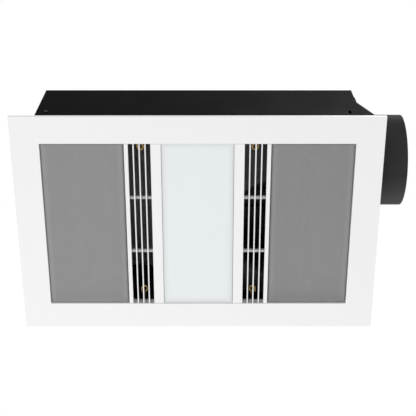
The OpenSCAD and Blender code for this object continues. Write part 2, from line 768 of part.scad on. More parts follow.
function scroll_radius(a) = tongue_r + (scroll_r1 - tongue_r) * (a - tongue_a) / (270 - tongue_a);
scroll_steps = 30;
mouth_x = inner_x;
function spiral(extra) = [for (i = [0:scroll_steps])
    let (a = tongue_a + (270 - tongue_a) * i / scroll_steps, r = scroll_radius(a) + extra)
    [fan_x + r * cos(a), fan_y + r * sin(a)]];
function scroll_outline(extra) = concat(
    [[mouth_x, outlet_y1 + extra]],
    [[fan_x + sqrt(pow(tongue_r, 2) - pow(outlet_y1 - fan_y, 2)), outlet_y1 + extra]],
    [for (i = [1:scroll_steps]) spiral(extra)[i]],
    [[mouth_x, outlet_y0 - extra]]);

module scroll_plate(extra, t) { linear_extrude(height = t) polygon(scroll_outline(extra)); }

module scroll_floor() {
    color([0.24, 0.24, 0.24]) difference() {
        at([0, 0, scroll_z]) scroll_plate(scroll_t, scroll_t);
        at([fan_x, fan_y, scroll_z - 1]) cylinder(r = inlet_r, h = 4, $fn = 120);
        block(mouth_x - scroll_t, mouth_x + 1, outlet_y0 - 5, outlet_y1 + 5, scroll_z - 1, scroll_z + 4);
    }
}

// spiral wall with the plate that joins it to the housing round the port
module scroll_wall() {
    color([0.24, 0.24, 0.24]) difference() {
        union() {
            at([0, 0, scroll_z + scroll_t]) scroll_plate(scroll_t, scroll_h - scroll_t);
            block(mouth_x - scroll_t, mouth_x, outlet_y0 - 10, outlet_y1 + 10, scroll_z - 10, scroll_top);
        }
        at([0, 0, scroll_z + scroll_t]) scroll_plate(0, scroll_h);
        block(mouth_x - 4, mouth_x + 1, outlet_y0, outlet_y1, scroll_z + scroll_t, scroll_top + 1);
        adaptor_corners() translate([-6, 0, 0]) rotate([0, 90, 0]) cylinder(r = head_r + 1, h = 12, center = true);
    }
}

module scroll_cover() {
    color([0.24, 0.24, 0.24]) difference() {
        at([0, 0, scroll_top]) scroll_plate(scroll_t, scroll_t);
        at([fan_x, fan_y, scroll_top - 1]) cylinder(r = 20, h = 4);
        motor_points() translate([0, 0, scroll_top]) hole(6);
        for (p = post_points) at([p[0], p[1], scroll_top]) hole(6);
    }
}

module inlet_ring() {
    color([0.08, 0.08, 0.08]) at([fan_x, fan_y, scroll_z]) rotate_extrude($fn = 120) intersection() {
        translate([inlet_r, inlet_bell]) difference() {
            circle(r = inlet_bell, $fn = 64);
            circle(r = inlet_bell - 1.5, $fn = 64);
        }
        square([inlet_r, inlet_bell]);
    }
}

post_ring = impeller_r - 14;
post_points = [for (a = [45, 135, 225, 315]) [fan_x + post_ring * cos(a), fan_y + post_ring * sin(a)]];
module fan_posts() {
    color(steel) for (p = post_points) at([p[0], p[1], cover_top]) difference() {
        cylinder(r = 5, h = lid_z - cover_top, $fn = 6);
        translate([0, 0, -1]) cylinder(r = shank_r, h = lid_z - cover_top + 2);
    }
}

module motor_points() {
    for (a = [0, 120, 240]) at([fan_x, fan_y, 0]) rotate(a + 30) translate([motor_r + 4.5, 0, 0]) children();
}

module motor_can() {
    color(steel) difference() {
        union() {
            at([fan_x, fan_y, motor_z0]) cylinder(r = ear_r, h = ear_t);
            at([fan_x, fan_y, motor_z0]) cylinder(r = motor_r, h = motor_h);
        }
        at([fan_x, fan_y, motor_z0 + ear_t]) difference() {
            cylinder(r = motor_r - can_t, h = motor_h);
            translate([0, 0, -1]) cylinder(r = bearing_r, h = bearing_h + 1);
        }
        at([fan_x, fan_y, motor_z0 - 1]) cylinder(r = shaft_r + run_fit, h = motor_h);
        motor_points() translate([0, 0, motor_z0]) hole(6);
        at([fan_x - motor_r, fan_y + 12, motor_z0 + 14]) rotate([0, 90, 0]) cylinder(r = 3.5, h = 12, center = true);
    }
}

module motor_cover() {
    color(steel) at([fan_x, fan_y, 0]) {
        difference() {
            union() {
                at([0, 0, motor_z1]) cylinder(r = motor_r, h = 2);
                at([0, 0, motor_z1 - bearing_h]) cylinder(r = bearing_r, h = bearing_h + cap_h);
            }
            at([0, 0, motor_z1 - bearing_h - 1]) cylinder(r = shaft_r + run_fit, h = bearing_h + 2);
        }
    }
}

module motor_stator() {
    color([0.72, 0.45, 0.2]) at([fan_x, fan_y, rotor_z0]) {
        ring(motor_r - can_t, rotor_r + rotor_gap, rotor_z1 - rotor_z0);
    }
}

module motor_rotor() {
    color(steel) at([fan_x, fan_y, rotor_z0]) ring(rotor_r, shaft_r, rotor_z1 - rotor_z0);
}

module motor_screws() {
    color(steel) motor_points() translate([0, 0, motor_z0 + ear_t]) screw(6);
}

module motor_shaft() {
    color(steel) at([fan_x, fan_y, hub_z0 - nut_h - 2]) cylinder(r = shaft_r, h = motor_z1 - hub_z0 + nut_h + 2);
}

module impeller_nut() {
    color(steel) at([fan_x, fan_y, hub_z0 - nut_h]) difference() {
        cylinder(r = 8, h = nut_h, $fn = 6);
        translate([0, 0, -1]) cylinder(r = shaft_r, h = nut_h + 2);
    }
}

// one forward-curved blade, as a bent strip in plan
blade_t = 1;
bend_steps = 4;
blade_inset = 0.5;     // blade ends lie this far inside the rims that hold them
rib_reach = 0.75;      // share of the back plate's radius that its ribs reach
function blade_line(extra) = [for (i = [0:bend_steps])
    let (k = i / bend_steps, r = blade_r + blade_inset + (blade_w - 2 * blade_inset) * k,
         a = 9 * k * k + extra / r * 57.3)
    [r * cos(a), r * sin(a)]];
function backwards(p) = [for (i = [len(p) - 1:-1:0]) p[i]];

module impeller_plate() {
    color([0.1, 0.1, 0.1]) at([fan_x, fan_y, 0]) difference() {
        union() {
            at([0, 0, impeller_z1 - 2]) cylinder(r = impeller_r, h = 2, $fn = 96);
            at([0, 0, hub_z0]) cylinder(r = hub_r, h = 20);
            for (a = [0:60:300]) rotate(a)
                block(0, impeller_r * rib_reach, -1, 1, impeller_z1 - 8, impeller_z1 - 1);
        }
        at([0, 0, hub_z0 - 1]) cylinder(r = shaft_r, h = 30);
    }
}

module impeller_blades() {
    color([0.1, 0.1, 0.1]) at([fan_x, fan_y, 0]) {
        at([0, 0, impeller_z0]) ring(impeller_r, blade_r, 3);
        for (i = [0:blade_count - 1]) rotate(i * 360 / blade_count)
            at([0, 0, impeller_z0 + 1]) linear_extrude(height = impeller_z1 - impeller_z0 - 3)
                polygon(concat(blade_line(0), backwards(blade_line(blade_t))));
    }
}

// Duct adaptor and damper

module adaptor_corners() {
    for (sy = [-1, 1]) for (sz = [-1, 1])
        at([hx, duct_y + sy * corner_pad, duct_z + sz * corner_pad]) children();
}

module hood(inset, x0, x1) {
    hull() {
        at([x0, duct_y - hood_half + inset, duct_z - hood_half + inset])
            cube([0.2, 2 * (hood_half - inset), 2 * (hood_half - inset)]);
        at([x1 - 0.2, duct_y, duct_z]) rotate([0, 90, 0]) cylinder(r = duct_r - inset, h = 0.2, $fn = 64);
    }
}

module duct_adaptor() {
    color([0.2, 0.2, 0.2]) difference() {
        union() {
            block(hx, duct_x0, duct_y - adaptor_side / 2, duct_y + adaptor_side / 2,
                  duct_z - adaptor_side / 2, duct_z + adaptor_side / 2);
            hood(0, duct_x0 - 0.2, duct_x1);
        }
        difference() {
            union() {
                block(hx - 1, duct_x0 + eps, duct_y - hood_half + duct_t, duct_y + hood_half - duct_t,
                      duct_z - hood_half + duct_t, duct_z + hood_half - duct_t);
                hood(duct_t, duct_x0, duct_x1);
                at([duct_x1 - 0.3, duct_y, duct_z]) rotate([0, 90, 0])
                    cylinder(r = duct_r - duct_t, h = spigot_len + 2, $fn = 96);
            }
            // pads for the corner screws and ears for the hinge pin
            adaptor_corners() rotate([0, 90, 0]) cylinder(r = 5.5, h = 6);
            for (z = [pin_z0 - 2, pin_z1 - 3])
                block(hx, pin_x + 4, duct_y - 4, duct_y + 4, z, z + 5);
        }
        adaptor_corners() rotate([0, 90, 0]) translate([0, 0, -1]) cylinder(r = 1.3, h = 6);
        at([pin_x, duct_y, pin_z0]) cylinder(r = pin_r, h = pin_z1 - pin_z0, $fn = 24);
    }
}

module spigot_tube() {
    color([0.2, 0.2, 0.2]) at([duct_x1, duct_y, duct_z]) rotate([0, 90, 0]) difference() {
        cylinder(r = duct_r, h = spigot_len, $fn = 96);
        translate([0, 0, -1]) cylinder(r = duct_r - duct_t, h = spigot_len + 2, $fn = 96);
    }
}

module adaptor_screws() {
    color(steel) adaptor_corners() translate([-sheet_t, 0, 0]) rotate([0, -90, 0]) {
        cylinder(r = head_r, h = head_h);
        translate([0, 0, -5]) cylinder(r = 1.3, h = 5 + eps);
    }
}

module damper_pin() {
    color(steel) at([pin_x, duct_y, pin_z0]) cylinder(r = pin_r, h = pin_z1 - pin_z0, $fn = 24);
}

// closing spring of the flaps, wound round the pin
closer_r = 2.6;
closer_wire = 0.4;
closer_turns = 4;
closer_pitch = 1.6;
closer_path = [for (k = [0:closer_turns * 8])
    [pin_x + closer_r * cos(45 * k), duct_y + closer_r * sin(45 * k),
     port_z + closer_pitch * (k / 8 - closer_turns / 2)]];
echo("least gap between turns of the closing spring", closer_pitch - 2 * closer_wire);
module damper_spring() {
    color(steel) tube(closer_path,
        [for (i = [0:len(closer_path) - 1])
            cross(cross([0, 0, 1], tangent(closer_path, i)), tangent(closer_path, i))],
        closer_wire, 6);
}

// Half flap with its knuckles. side is -1 for the near half and 1 for the far half.
knuckle_len = 15;
module flap(side, knuckles) {
    color([0.3, 0.3, 0.3]) difference() {
        union() {
            intersection() {
                at([flap_x0, duct_y, port_z]) rotate([0, 90, 0]) cylinder(r = flap_r, h = flap_t, $fn = 96);
                mirror([0, side < 0 ? 1 : 0, 0]) translate([0, side < 0 ? -2 * duct_y : 0, 0])
                    block(flap_x0, flap_x0 + flap_t, duct_y + air, duct_y + flap_r + 1,
                          port_z - flap_r, port_z + flap_r);
            }
            for (z = knuckles) at([pin_x, duct_y, z]) {
                cylinder(r = knuckle_r, h = knuckle_len, $fn = 32);
                translate([flap_x0 - pin_x, side < 0 ? -knuckle_r : 0.6, 0])
                    cube([pin_x - flap_x0, knuckle_r - 0.6, knuckle_len]);
            }
        }
        at([pin_x, duct_y, port_z - flap_r - 1]) cylinder(r = pin_r + run_fit, h = 2 * flap_r + 2, $fn = 24);
    }
}
near_knuckles = [port_z + 26, port_z - 26 - knuckle_len];
far_knuckles = [port_z + 8, port_z - 8 - knuckle_len];
module damper_flap_near() { flap(-1, near_knuckles); }
module damper_flap_far() { flap(1, far_knuckles); }

// Heat lamps, drawn for the right-hand side

slope_t = reflector_t * sqrt(1 + pow((rim_half - reflector_top / 2) / reflector_h, 2));
function trough(inset, drop, foot) = [
    [-rim_half + inset, reflector_z - foot], [-reflector_top / 2 + inset * 0.5, reflector_top_z - drop],
    [reflector_top / 2 - inset * 0.5, reflector_top_z - drop], [rim_half - inset, reflector_z - foot]];

module along_y(len) {
    translate([0, len / 2, 0]) rotate([90, 0, 0]) linear_extrude(height = len) children();
}

module reflector() {
    rim = 3.5;
    color([0.8, 0.81, 0.82]) at([mesh_x, 0, 0]) {
        difference() {
            union() {
                along_y(reflector_len) polygon(trough(0, 0, 0));
                block(-rim_half - rim, rim_half + rim, -reflector_len / 2, reflector_len / 2,
                      reflector_z, reflector_z + reflector_t);
            }
            along_y(reflector_len - 2 * reflector_t) polygon(trough(slope_t, reflector_t, eps));
        }
        for (s = [0, 1]) mirror([0, s, 0]) {
            block(-15, 15, reflector_len / 2 - eps, inner_y, reflector_top_z - reflector_t, reflector_top_z);
            difference() {
                block(-15, 15, inner_y - reflector_t, inner_y, reflector_top_z - reflector_t, tab_z + 6);
                at([0, inner_y, tab_z]) rotate([90, 0, 0]) hole(6);
            }
        }
    }
}
module reflector_right() { reflector(); }
module reflector_left() { mirror([1, 0, 0]) reflector(); }

module reflector_screws() {
    color(steel) four_ways() at([mesh_x, inner_y - reflector_t, tab_z]) rotate([90, 0, 0]) screw(6);
}

module heat_lamp() {
    color([0.9, 0.92, 0.95, 0.5]) at([mesh_x, 0, lamp_z]) rotate([90, 0, 0]) translate([0, 0, -lamp_len / 2])
        ring(lamp_r, lamp_r - lamp_t, lamp_len);
}
module heat_lamp_right() { heat_lamp(); }
module heat_lamp_left() { mirror([1, 0, 0]) heat_lamp(); }

module lamp_filaments() {
    color([0.45, 0.42, 0.4]) both_sides() at([mesh_x, 0, lamp_z]) rotate([90, 0, 0])
        cylinder(r = 1.1, h = lamp_len, center = true);
}

module lamp_caps() {
    color([0.93, 0.91, 0.86]) four_ways() at([mesh_x, lamp_len / 2 - cap_grip, lamp_z]) rotate([-90, 0, 0])
        difference() {
            cylinder(r = cap_r, h = cap_len);
            translate([0, 0, -1]) cylinder(r = lamp_r, h = cap_grip + 1);
        }
}

module lamp_holders() {
    half = cap_r + 2.5;
    color(steel) four_ways() difference() {
        block(mesh_x - half, mesh_x + half, holder_y, holder_y + holder_t, lamp_z - half,
              reflector_top_z - reflector_t);
        at([mesh_x, holder_y - 1, lamp_z]) rotate([-90, 0, 0]) cylinder(r = cap_r, h = holder_t + 2);
    }
}

module thermal_cutouts() {
    color([0.85, 0.83, 0.78]) both_sides() at([mesh_x, lamp_len / 4, reflector_top_z]) {
        cylinder(r = 8.5, h = 7);
        block(-12, 12, -3.5, 3.5, 0, 1);
        for (x = [-5, 4.2]) block(x, x + 0.8, -3, 3, 6, 14);
    }
}

// Light panel

module light_diffuser() {
    color([0.9, 0.93, 0.94]) difference() {
        block(-panel_x, panel_x, -panel_y, panel_y, panel_z, panel_z + diffuser_t + rim_h);
        block(-panel_x + rim_t, panel_x - rim_t, -panel_y + rim_t, panel_y - rim_t,
              panel_z + diffuser_t, panel_z + diffuser_t + rim_h + 1);
    }
}

module light_tray() {
    color([0.88, 0.88, 0.88]) difference() {
        block(-tray_x, tray_x, -tray_y, tray_y, tray_z0, tray_z1);
        block(-tray_x + tray_t, tray_x - tray_t, -tray_y + tray_t, tray_y - tray_t, tray_z0 - 1, tray_z1 - tray_t);
    }
}

module tray_brackets() {
    color(steel) for (s = [0, 1]) mirror([0, s, 0]) {
        block(-20, 20, tray_y - 40, inner_y, tray_z1, tray_z1 + bracket_t);
        difference() {
            block(-20, 20, inner_y - bracket_t, inner_y, tray_z1, tray_tab_z + 7);
            at([0, inner_y, tray_tab_z]) rotate([90, 0, 0]) hole(6);
        }
    }
}

module tray_screws() {
    color(steel) for (s = [0, 1]) mirror([0, s, 0])
        at([0, inner_y - bracket_t, tray_tab_z]) rotate([90, 0, 0]) screw(6);
}

board_z = tray_z1 - tray_t - board_t;
module led_board() {
    color([0.95, 0.95, 0.93]) block(-tray_x + 4, tray_x - 4, -tray_y + 4, tray_y - 4, board_z, board_z + board_t);
}

module led_chips() {
    color([0.98, 0.9, 0.5]) for (x = [-36, -12, 12, 36]) for (i = [0:led_rows - 1])
        at([x, (i - (led_rows - 1) / 2) * 2 * (tray_y - 8) / led_rows, board_z - chip_t / 2])
            cube([3.5, 2.8, chip_t], center = true);
}

fascia_frame();
grille_left();
grille_right();
mesh_guard_left();
mesh_guard_right();
fascia_screws();
spring_anchors();
fascia_springs();
spring_hooks();
hook_nuts();
housing_flange();
housing_sides();
housing_ends();
lid_ledge();
housing_lid();
lid_screws();
wiring_deck();
terminal_block();
fan_capacitor();
light_driver();
cable_gland();
gland_nut();
wiring_loom();
scroll_floor();
scroll_wall();
scroll_cover();
inlet_ring();
fan_posts();
motor_can();
motor_cover();
motor_stator();
motor_screws();
impeller_plate();
impeller_blades();
motor_rotor();
motor_shaft();
impeller_nut();
duct_adaptor();
spigot_tube();
adaptor_screws();
damper_pin();
damper_spring();
damper_flap_near();
damper_flap_far();
reflector_left();
reflector_right();
reflector_screws();
heat_lamp_left();
heat_lamp_right();
lamp_filaments();
lamp_caps();
lamp_holders();
thermal_cutouts();
light_tray();
tray_brackets();
tray_screws();
led_board();
led_chips();
light_diffuser();
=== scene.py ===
import math

import bpy
import numpy as np
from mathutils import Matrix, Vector


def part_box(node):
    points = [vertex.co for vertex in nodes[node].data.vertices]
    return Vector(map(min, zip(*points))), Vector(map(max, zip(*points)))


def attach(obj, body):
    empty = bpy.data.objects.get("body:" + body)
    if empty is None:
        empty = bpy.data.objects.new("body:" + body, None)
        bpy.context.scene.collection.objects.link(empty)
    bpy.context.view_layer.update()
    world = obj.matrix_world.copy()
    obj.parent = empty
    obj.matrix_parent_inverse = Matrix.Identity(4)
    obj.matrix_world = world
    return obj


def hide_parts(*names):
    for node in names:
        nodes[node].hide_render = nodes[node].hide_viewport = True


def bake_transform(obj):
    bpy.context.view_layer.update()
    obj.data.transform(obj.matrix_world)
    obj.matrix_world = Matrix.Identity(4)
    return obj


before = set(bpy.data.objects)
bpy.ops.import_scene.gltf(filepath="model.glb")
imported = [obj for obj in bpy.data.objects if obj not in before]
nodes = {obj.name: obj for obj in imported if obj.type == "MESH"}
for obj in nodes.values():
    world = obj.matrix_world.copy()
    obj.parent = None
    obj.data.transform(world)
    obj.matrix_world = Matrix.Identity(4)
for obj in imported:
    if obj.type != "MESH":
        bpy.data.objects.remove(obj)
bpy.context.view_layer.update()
print("frame: loaded", len(nodes), "nodes")


# camera, fitted to the corners of the fascia and the housing

cameraSettings = {
    "place": (0.01644, -0.69894, -1.43805),
    "lookUp": 65.08,      # degrees above level, towards +Y
    "focalPixels": 973.95,
    "imagePixels": 416,
    "sensor": 36.0,
    "nearest": 0.01, "farthest": 50,
}


def makeCamera(s):
    data = bpy.data.cameras.new("camera")
    data.sensor_width = s["sensor"]
    data.lens = s["focalPixels"] * s["sensor"] / s["imagePixels"]
    data.clip_start = s["nearest"]
    data.clip_end = s["farthest"]
    cam = bpy.data.objects.new("camera", data)
    cam.location = s["place"]
    cam.rotation_euler = (math.radians(90 + s["lookUp"]), 0, 0)
    bpy.context.scene.collection.objects.link(cam)
    bpy.context.scene.camera = cam


makeCamera(cameraSettings)
bpy.context.scene.view_settings.view_transform = "Standard"
print("camera: placed")


# shared effects, each one a node group; detail is how fine a noise is, gain how strongly it swings

effectSettings = {
    "skinDetail": 3, "glossDetail": 4, "glossGain": 4.0,
    "toneDetail": 2, "mottleDetail": 4, "toneGain": 2.0,
    "lineDetail": 2, "lineGain": 3.0,
    "dustDetail": 6, "dustGain": 2.4, "dustOffset": -0.7, "dustFacing": 3.0,
    "breakDetail": 4, "breakGain": 3.0, "breakOffset": -1.0, "edgeGain": 6.0, "edgeSamples": 4,
    "wallFacing": 2.0,
}


def openGroup(name, inputs, outputs):
    tree = bpy.data.node_groups.new(name, "ShaderNodeTree")
    for label, kind, value in inputs:
        sock = tree.interface.new_socket(name=label, in_out="INPUT", socket_type=kind)
        sock.default_value = value
    for label, kind in outputs:
        tree.interface.new_socket(name=label, in_out="OUTPUT", socket_type=kind)
    entry = tree.nodes.new("NodeGroupInput")
    leave = tree.nodes.new("NodeGroupOutput")
    entry.location = (-900, 0)
    leave.location = (700, 0)
    return tree, entry, leave


def addNode(tree, kind, x=0, y=0, **values):
    node = tree.nodes.new(kind)
    node.location = (x, y)
    for key, value in values.items():
        setattr(node, key, value)
    return node


def mathNode(tree, operation, a, b, x=0, y=0, clamp=False):
    node = addNode(tree, "ShaderNodeMath", x, y, operation=operation, use_clamp=clamp)
    for i, value in enumerate((a, b)):
        if value is None:
            continue
        if isinstance(value, (int, float)):
            node.inputs[i].default_value = value
        else:
            tree.links.new(value, node.inputs[i])
    return node.outputs[0]


def mixColour(tree, factor, a, b, x=0, y=0, blend="MIX"):
    node = addNode(tree, "ShaderNodeMix", x, y, data_type="RGBA", blend_type=blend)
    for sock, value in ((node.inputs[0], factor), (node.inputs[6], a), (node.inputs[7], b)):
        if isinstance(value, (int, float, tuple)):
            sock.default_value = value
        else:
            tree.links.new(value, sock)
    return node.outputs[2]


def noiseNode(tree, coords, scale, detail, x, y):
    node = addNode(tree, "ShaderNodeTexNoise", x, y)
    node.inputs["Detail"].default_value = detail
    tree.links.new(coords, node.inputs["Vector"])
    if isinstance(scale, (int, float)):
        node.inputs["Scale"].default_value = scale
    else:
        tree.links.new(scale, node.inputs["Scale"])
    return node.outputs["Fac"]


def buildGrain(s):
    # fine moulded or powder-coated skin: small bumps and uneven gloss
    tree, entry, leave = openGroup("skinGrain", [
        ("Grain Size", "NodeSocketFloat", 900.0), ("Gloss Patch Size", "NodeSocketFloat", 14.0),
        ("Roughness", "NodeSocketFloat", 0.4), ("Roughness Spread", "NodeSocketFloat", 0.08)],
        [("Roughness", "NodeSocketFloat"), ("Height", "NodeSocketFloat")])
    spot = addNode(tree, "ShaderNodeTexCoord", -900, -300)
    fine = noiseNode(tree, spot.outputs["Object"], entry.outputs["Grain Size"], s["skinDetail"], -600, 0)
    patch = noiseNode(tree, spot.outputs["Object"], entry.outputs["Gloss Patch Size"],
                      s["glossDetail"], -600, -300)
    swing = mathNode(tree, "SUBTRACT", patch, 0.5, -400, -300)
    swing = mathNode(tree, "MULTIPLY", swing, entry.outputs["Roughness Spread"], -200, -300)
    swing = mathNode(tree, "MULTIPLY", swing, s["glossGain"], -50, -300)
    rough = mathNode(tree, "ADD", swing, entry.outputs["Roughness"], 150, -300, clamp=True)
    tree.links.new(rough, leave.inputs["Roughness"])
    tree.links.new(fine, leave.inputs["Height"])
    return tree


def buildTone(s):
    # slow drift of a colour's lightness, with a little fine mottling
    tree, entry, leave = openGroup("toneDrift", [
        ("Colour", "NodeSocketColor", (0.8, 0.8, 0.8, 1)), ("Drift", "NodeSocketFloat", 0.03),
        ("Patch Size", "NodeSocketFloat", 6.0), ("Mottle", "NodeSocketFloat", 0.01),
        ("Mottle Size", "NodeSocketFloat", 300.0)],
        [("Colour", "NodeSocketColor")])
    spot = addNode(tree, "ShaderNodeTexCoord", -900, -300)
    slow = noiseNode(tree, spot.outputs["Object"], entry.outputs["Patch Size"], s["toneDetail"], -600, 0)
    quick = noiseNode(tree, spot.outputs["Object"], entry.outputs["Mottle Size"],
                      s["mottleDetail"], -600, -300)
    a = mathNode(tree, "SUBTRACT", slow, 0.5, -400, 0)
    a = mathNode(tree, "MULTIPLY", a, entry.outputs["Drift"], -250, 0)
    b = mathNode(tree, "SUBTRACT", quick, 0.5, -400, -300)
    b = mathNode(tree, "MULTIPLY", b, entry.outputs["Mottle"], -250, -300)
    total = mathNode(tree, "ADD", a, b, -100, -100)
    total = mathNode(tree, "MULTIPLY_ADD", total, s["toneGain"], 50, -100)
    total.node.inputs[2].default_value = 1.0
    grey = addNode(tree, "ShaderNodeCombineColor", 250, -100)
    for i in range(3):
        tree.links.new(total, grey.inputs[i])
    out = mixColour(tree, 1.0, entry.outputs["Colour"], grey.outputs[0], 450, 0, "MULTIPLY")
    tree.links.new(out, leave.inputs["Colour"])
    return tree


def buildBrush(s):
    # rolled or brushed metal: long fine lines along one axis
    tree, entry, leave = openGroup("brushLines", [
        ("Stretch", "NodeSocketVector", (1.0, 1.0, 1.0)), ("Line Size", "NodeSocketFloat", 500.0),
        ("Roughness", "NodeSocketFloat", 0.3), ("Roughness Spread", "NodeSocketFloat", 0.1)],
        [("Roughness", "NodeSocketFloat"), ("Height", "NodeSocketFloat")])
    spot = addNode(tree, "ShaderNodeTexCoord", -900, -300)
    scaled = addNode(tree, "ShaderNodeVectorMath", -700, -100, operation="MULTIPLY")
    tree.links.new(spot.outputs["Object"], scaled.inputs[0])
    tree.links.new(entry.outputs["Stretch"], scaled.inputs[1])
    lines = noiseNode(tree, scaled.outputs[0], entry.outputs["Line Size"], s["lineDetail"], -450, 0)
    swing = mathNode(tree, "SUBTRACT", lines, 0.5, -250, -150)
    swing = mathNode(tree, "MULTIPLY", swing, entry.outputs["Roughness Spread"], -100, -150)
    swing = mathNode(tree, "MULTIPLY", swing, s["lineGain"], 50, -150)
    rough = mathNode(tree, "ADD", swing, entry.outputs["Roughness"], 250, -150, clamp=True)
    tree.links.new(rough, leave.inputs["Roughness"])
    tree.links.new(lines, leave.inputs["Height"])
    return tree


def buildDust(s):
    # thin dust on what faces up, broken by noise
    tree, entry, leave = openGroup("dustFilm", [
        ("Colour", "NodeSocketColor", (0.1, 0.1, 0.1, 1)),
        ("Dust Colour", "NodeSocketColor", (0.4, 0.38, 0.35, 1)),
        ("Amount", "NodeSocketFloat", 0.2), ("Patch Size", "NodeSocketFloat", 9.0)],
        [("Colour", "NodeSocketColor")])
    spot = addNode(tree, "ShaderNodeTexCoord", -900, -300)
    lie = addNode(tree, "ShaderNodeNewGeometry", -900, 200)
    parts = addNode(tree, "ShaderNodeSeparateXYZ", -700, 200)
    tree.links.new(lie.outputs["Normal"], parts.inputs[0])
    up = mathNode(tree, "MAXIMUM", parts.outputs[2], 0.0, -500, 200)
    up = mathNode(tree, "POWER", up, s["dustFacing"], -350, 200)
    patch = noiseNode(tree, spot.outputs["Object"], entry.outputs["Patch Size"], s["dustDetail"], -600, -100)
    patch = mathNode(tree, "MULTIPLY_ADD", patch, s["dustGain"], -400, -100, clamp=True)
    patch.node.inputs[2].default_value = s["dustOffset"]
    mask = mathNode(tree, "MULTIPLY", up, patch, -200, 0)
    mask = mathNode(tree, "MULTIPLY", mask, entry.outputs["Amount"], 0, 0, clamp=True)
    out = mixColour(tree, mask, entry.outputs["Colour"], entry.outputs["Dust Colour"], 300, 0)
    tree.links.new(out, leave.inputs["Colour"])
    return tree


def buildRub(s):
    # paint rubbed thin along the sheet's edges
    tree, entry, leave = openGroup("edgeRub", [
        ("Colour", "NodeSocketColor", (0.1, 0.1, 0.1, 1)),
        ("Rubbed Colour", "NodeSocketColor", (0.3, 0.3, 0.3, 1)),
        ("Amount", "NodeSocketFloat", 0.3), ("Radius", "NodeSocketFloat", 0.0008),
        ("Break Size", "NodeSocketFloat", 60.0)],
        [("Colour", "NodeSocketColor"), ("Normal", "NodeSocketVector")])
    soft = addNode(tree, "ShaderNodeBevel", -700, 200, samples=s["edgeSamples"])
    tree.links.new(entry.outputs["Radius"], soft.inputs["Radius"])
    flat = addNode(tree, "ShaderNodeNewGeometry", -700, -50)
    dot = addNode(tree, "ShaderNodeVectorMath", -500, 100, operation="DOT_PRODUCT")
    tree.links.new(soft.outputs[0], dot.inputs[0])
    tree.links.new(flat.outputs["Normal"], dot.inputs[1])
    edge = mathNode(tree, "SUBTRACT", 1.0, dot.outputs["Value"], -300, 100)
    edge = mathNode(tree, "MULTIPLY", edge, s["edgeGain"], -150, 100, clamp=True)
    spot = addNode(tree, "ShaderNodeTexCoord", -900, -300)
    breaks = noiseNode(tree, spot.outputs["Object"], entry.outputs["Break Size"],
                       s["breakDetail"], -600, -300)
    breaks = mathNode(tree, "MULTIPLY_ADD", breaks, s["breakGain"], -400, -300, clamp=True)
    breaks.node.inputs[2].default_value = s["breakOffset"]
    mask = mathNode(tree, "MULTIPLY", edge, breaks, 0, 0)
    mask = mathNode(tree, "MULTIPLY", mask, entry.outputs["Amount"], 150, 0, clamp=True)
    out = mixColour(tree, mask, entry.outputs["Colour"], entry.outputs["Rubbed Colour"], 400, 0)
    tree.links.new(out, leave.inputs["Colour"])
    tree.links.new(soft.outputs[0], leave.inputs["Normal"])
    return tree


def buildRimShadeAndHighlight():
    # a flat piece takes another colour towards its rim: painted shade round a frosted panel where its tray
    # ends and in a panel's joints, a painted highlight along the mesh guards
    tree, entry, leave = openGroup("rimShade", [
        ("Colour", "NodeSocketColor", (0.8, 0.8, 0.8, 1)),
        ("Rim Colour", "NodeSocketColor", (0.6, 0.6, 0.6, 1)), ("Centre", "NodeSocketVector", (0, 0, 0)),
        ("Half Width", "NodeSocketFloat", 0.0575), ("Half Length", "NodeSocketFloat", 0.1445),
        ("Band", "NodeSocketFloat", 0.01), ("Falloff", "NodeSocketFloat", 1.6)],
        [("Colour", "NodeSocketColor")])
    spot = addNode(tree, "ShaderNodeTexCoord", -1100, -300)
    moved = addNode(tree, "ShaderNodeVectorMath", -900, -250, operation="SUBTRACT")
    tree.links.new(spot.outputs["Object"], moved.inputs[0])
    tree.links.new(entry.outputs["Centre"], moved.inputs[1])
    parts = addNode(tree, "ShaderNodeSeparateXYZ", -700, -200)
    tree.links.new(moved.outputs[0], parts.inputs[0])
    reach = []
    for i, label in ((0, "Half Width"), (1, "Half Length")):
        away = mathNode(tree, "ABSOLUTE", parts.outputs[i], None, -550, -200 * i)
        reach.append(mathNode(tree, "SUBTRACT", entry.outputs[label], away, -400, -200 * i))
    near = mathNode(tree, "MINIMUM", reach[0], reach[1], -200, -100)
    near = mathNode(tree, "DIVIDE", near, entry.outputs["Band"], -50, -100, clamp=True)
    near = mathNode(tree, "SUBTRACT", 1.0, near, 100, -100)
    near = mathNode(tree, "POWER", near, entry.outputs["Falloff"], 250, -100)
    out = mixColour(tree, near, entry.outputs["Colour"], entry.outputs["Rim Colour"], 450, 0)
    tree.links.new(out, leave.inputs["Colour"])
    return tree


def buildSlotShade(s):
    # painted shade: faces that look along x, such as the walls of narrow slots, are painted darker than the
    # face, for the shade inside the slots
    tree, entry, leave = openGroup("slotShade", [
        ("Colour", "NodeSocketColor", (0.8, 0.8, 0.8, 1)),
        ("Wall Colour", "NodeSocketColor", (0.3, 0.3, 0.3, 1)),
        ("Amount", "NodeSocketFloat", 1.0)],
        [("Colour", "NodeSocketColor")])
    spot = addNode(tree, "ShaderNodeTexCoord", -700, -200)
    parts = addNode(tree, "ShaderNodeSeparateXYZ", -500, -200)
    tree.links.new(spot.outputs["Normal"], parts.inputs[0])
    side = mathNode(tree, "ABSOLUTE", parts.outputs[0], None, -300, -200)
    side = mathNode(tree, "POWER", side, s["wallFacing"], -150, -200)
    side = mathNode(tree, "MULTIPLY", side, entry.outputs["Amount"], 0, -200)
    out = mixColour(tree, side, entry.outputs["Colour"], entry.outputs["Wall Colour"], 200, 0)
    tree.links.new(out, leave.inputs["Colour"])
    return tree


grain = buildGrain(effectSettings)
tone = buildTone(effectSettings)
brush = buildBrush(effectSettings)
dust = buildDust(effectSettings)
rub = buildRub(effectSettings)
rimShade = buildRimShadeAndHighlight()
slotShade = buildSlotShade(effectSettings)
print("effects: seven node groups built")


# finishes, one dictionary each

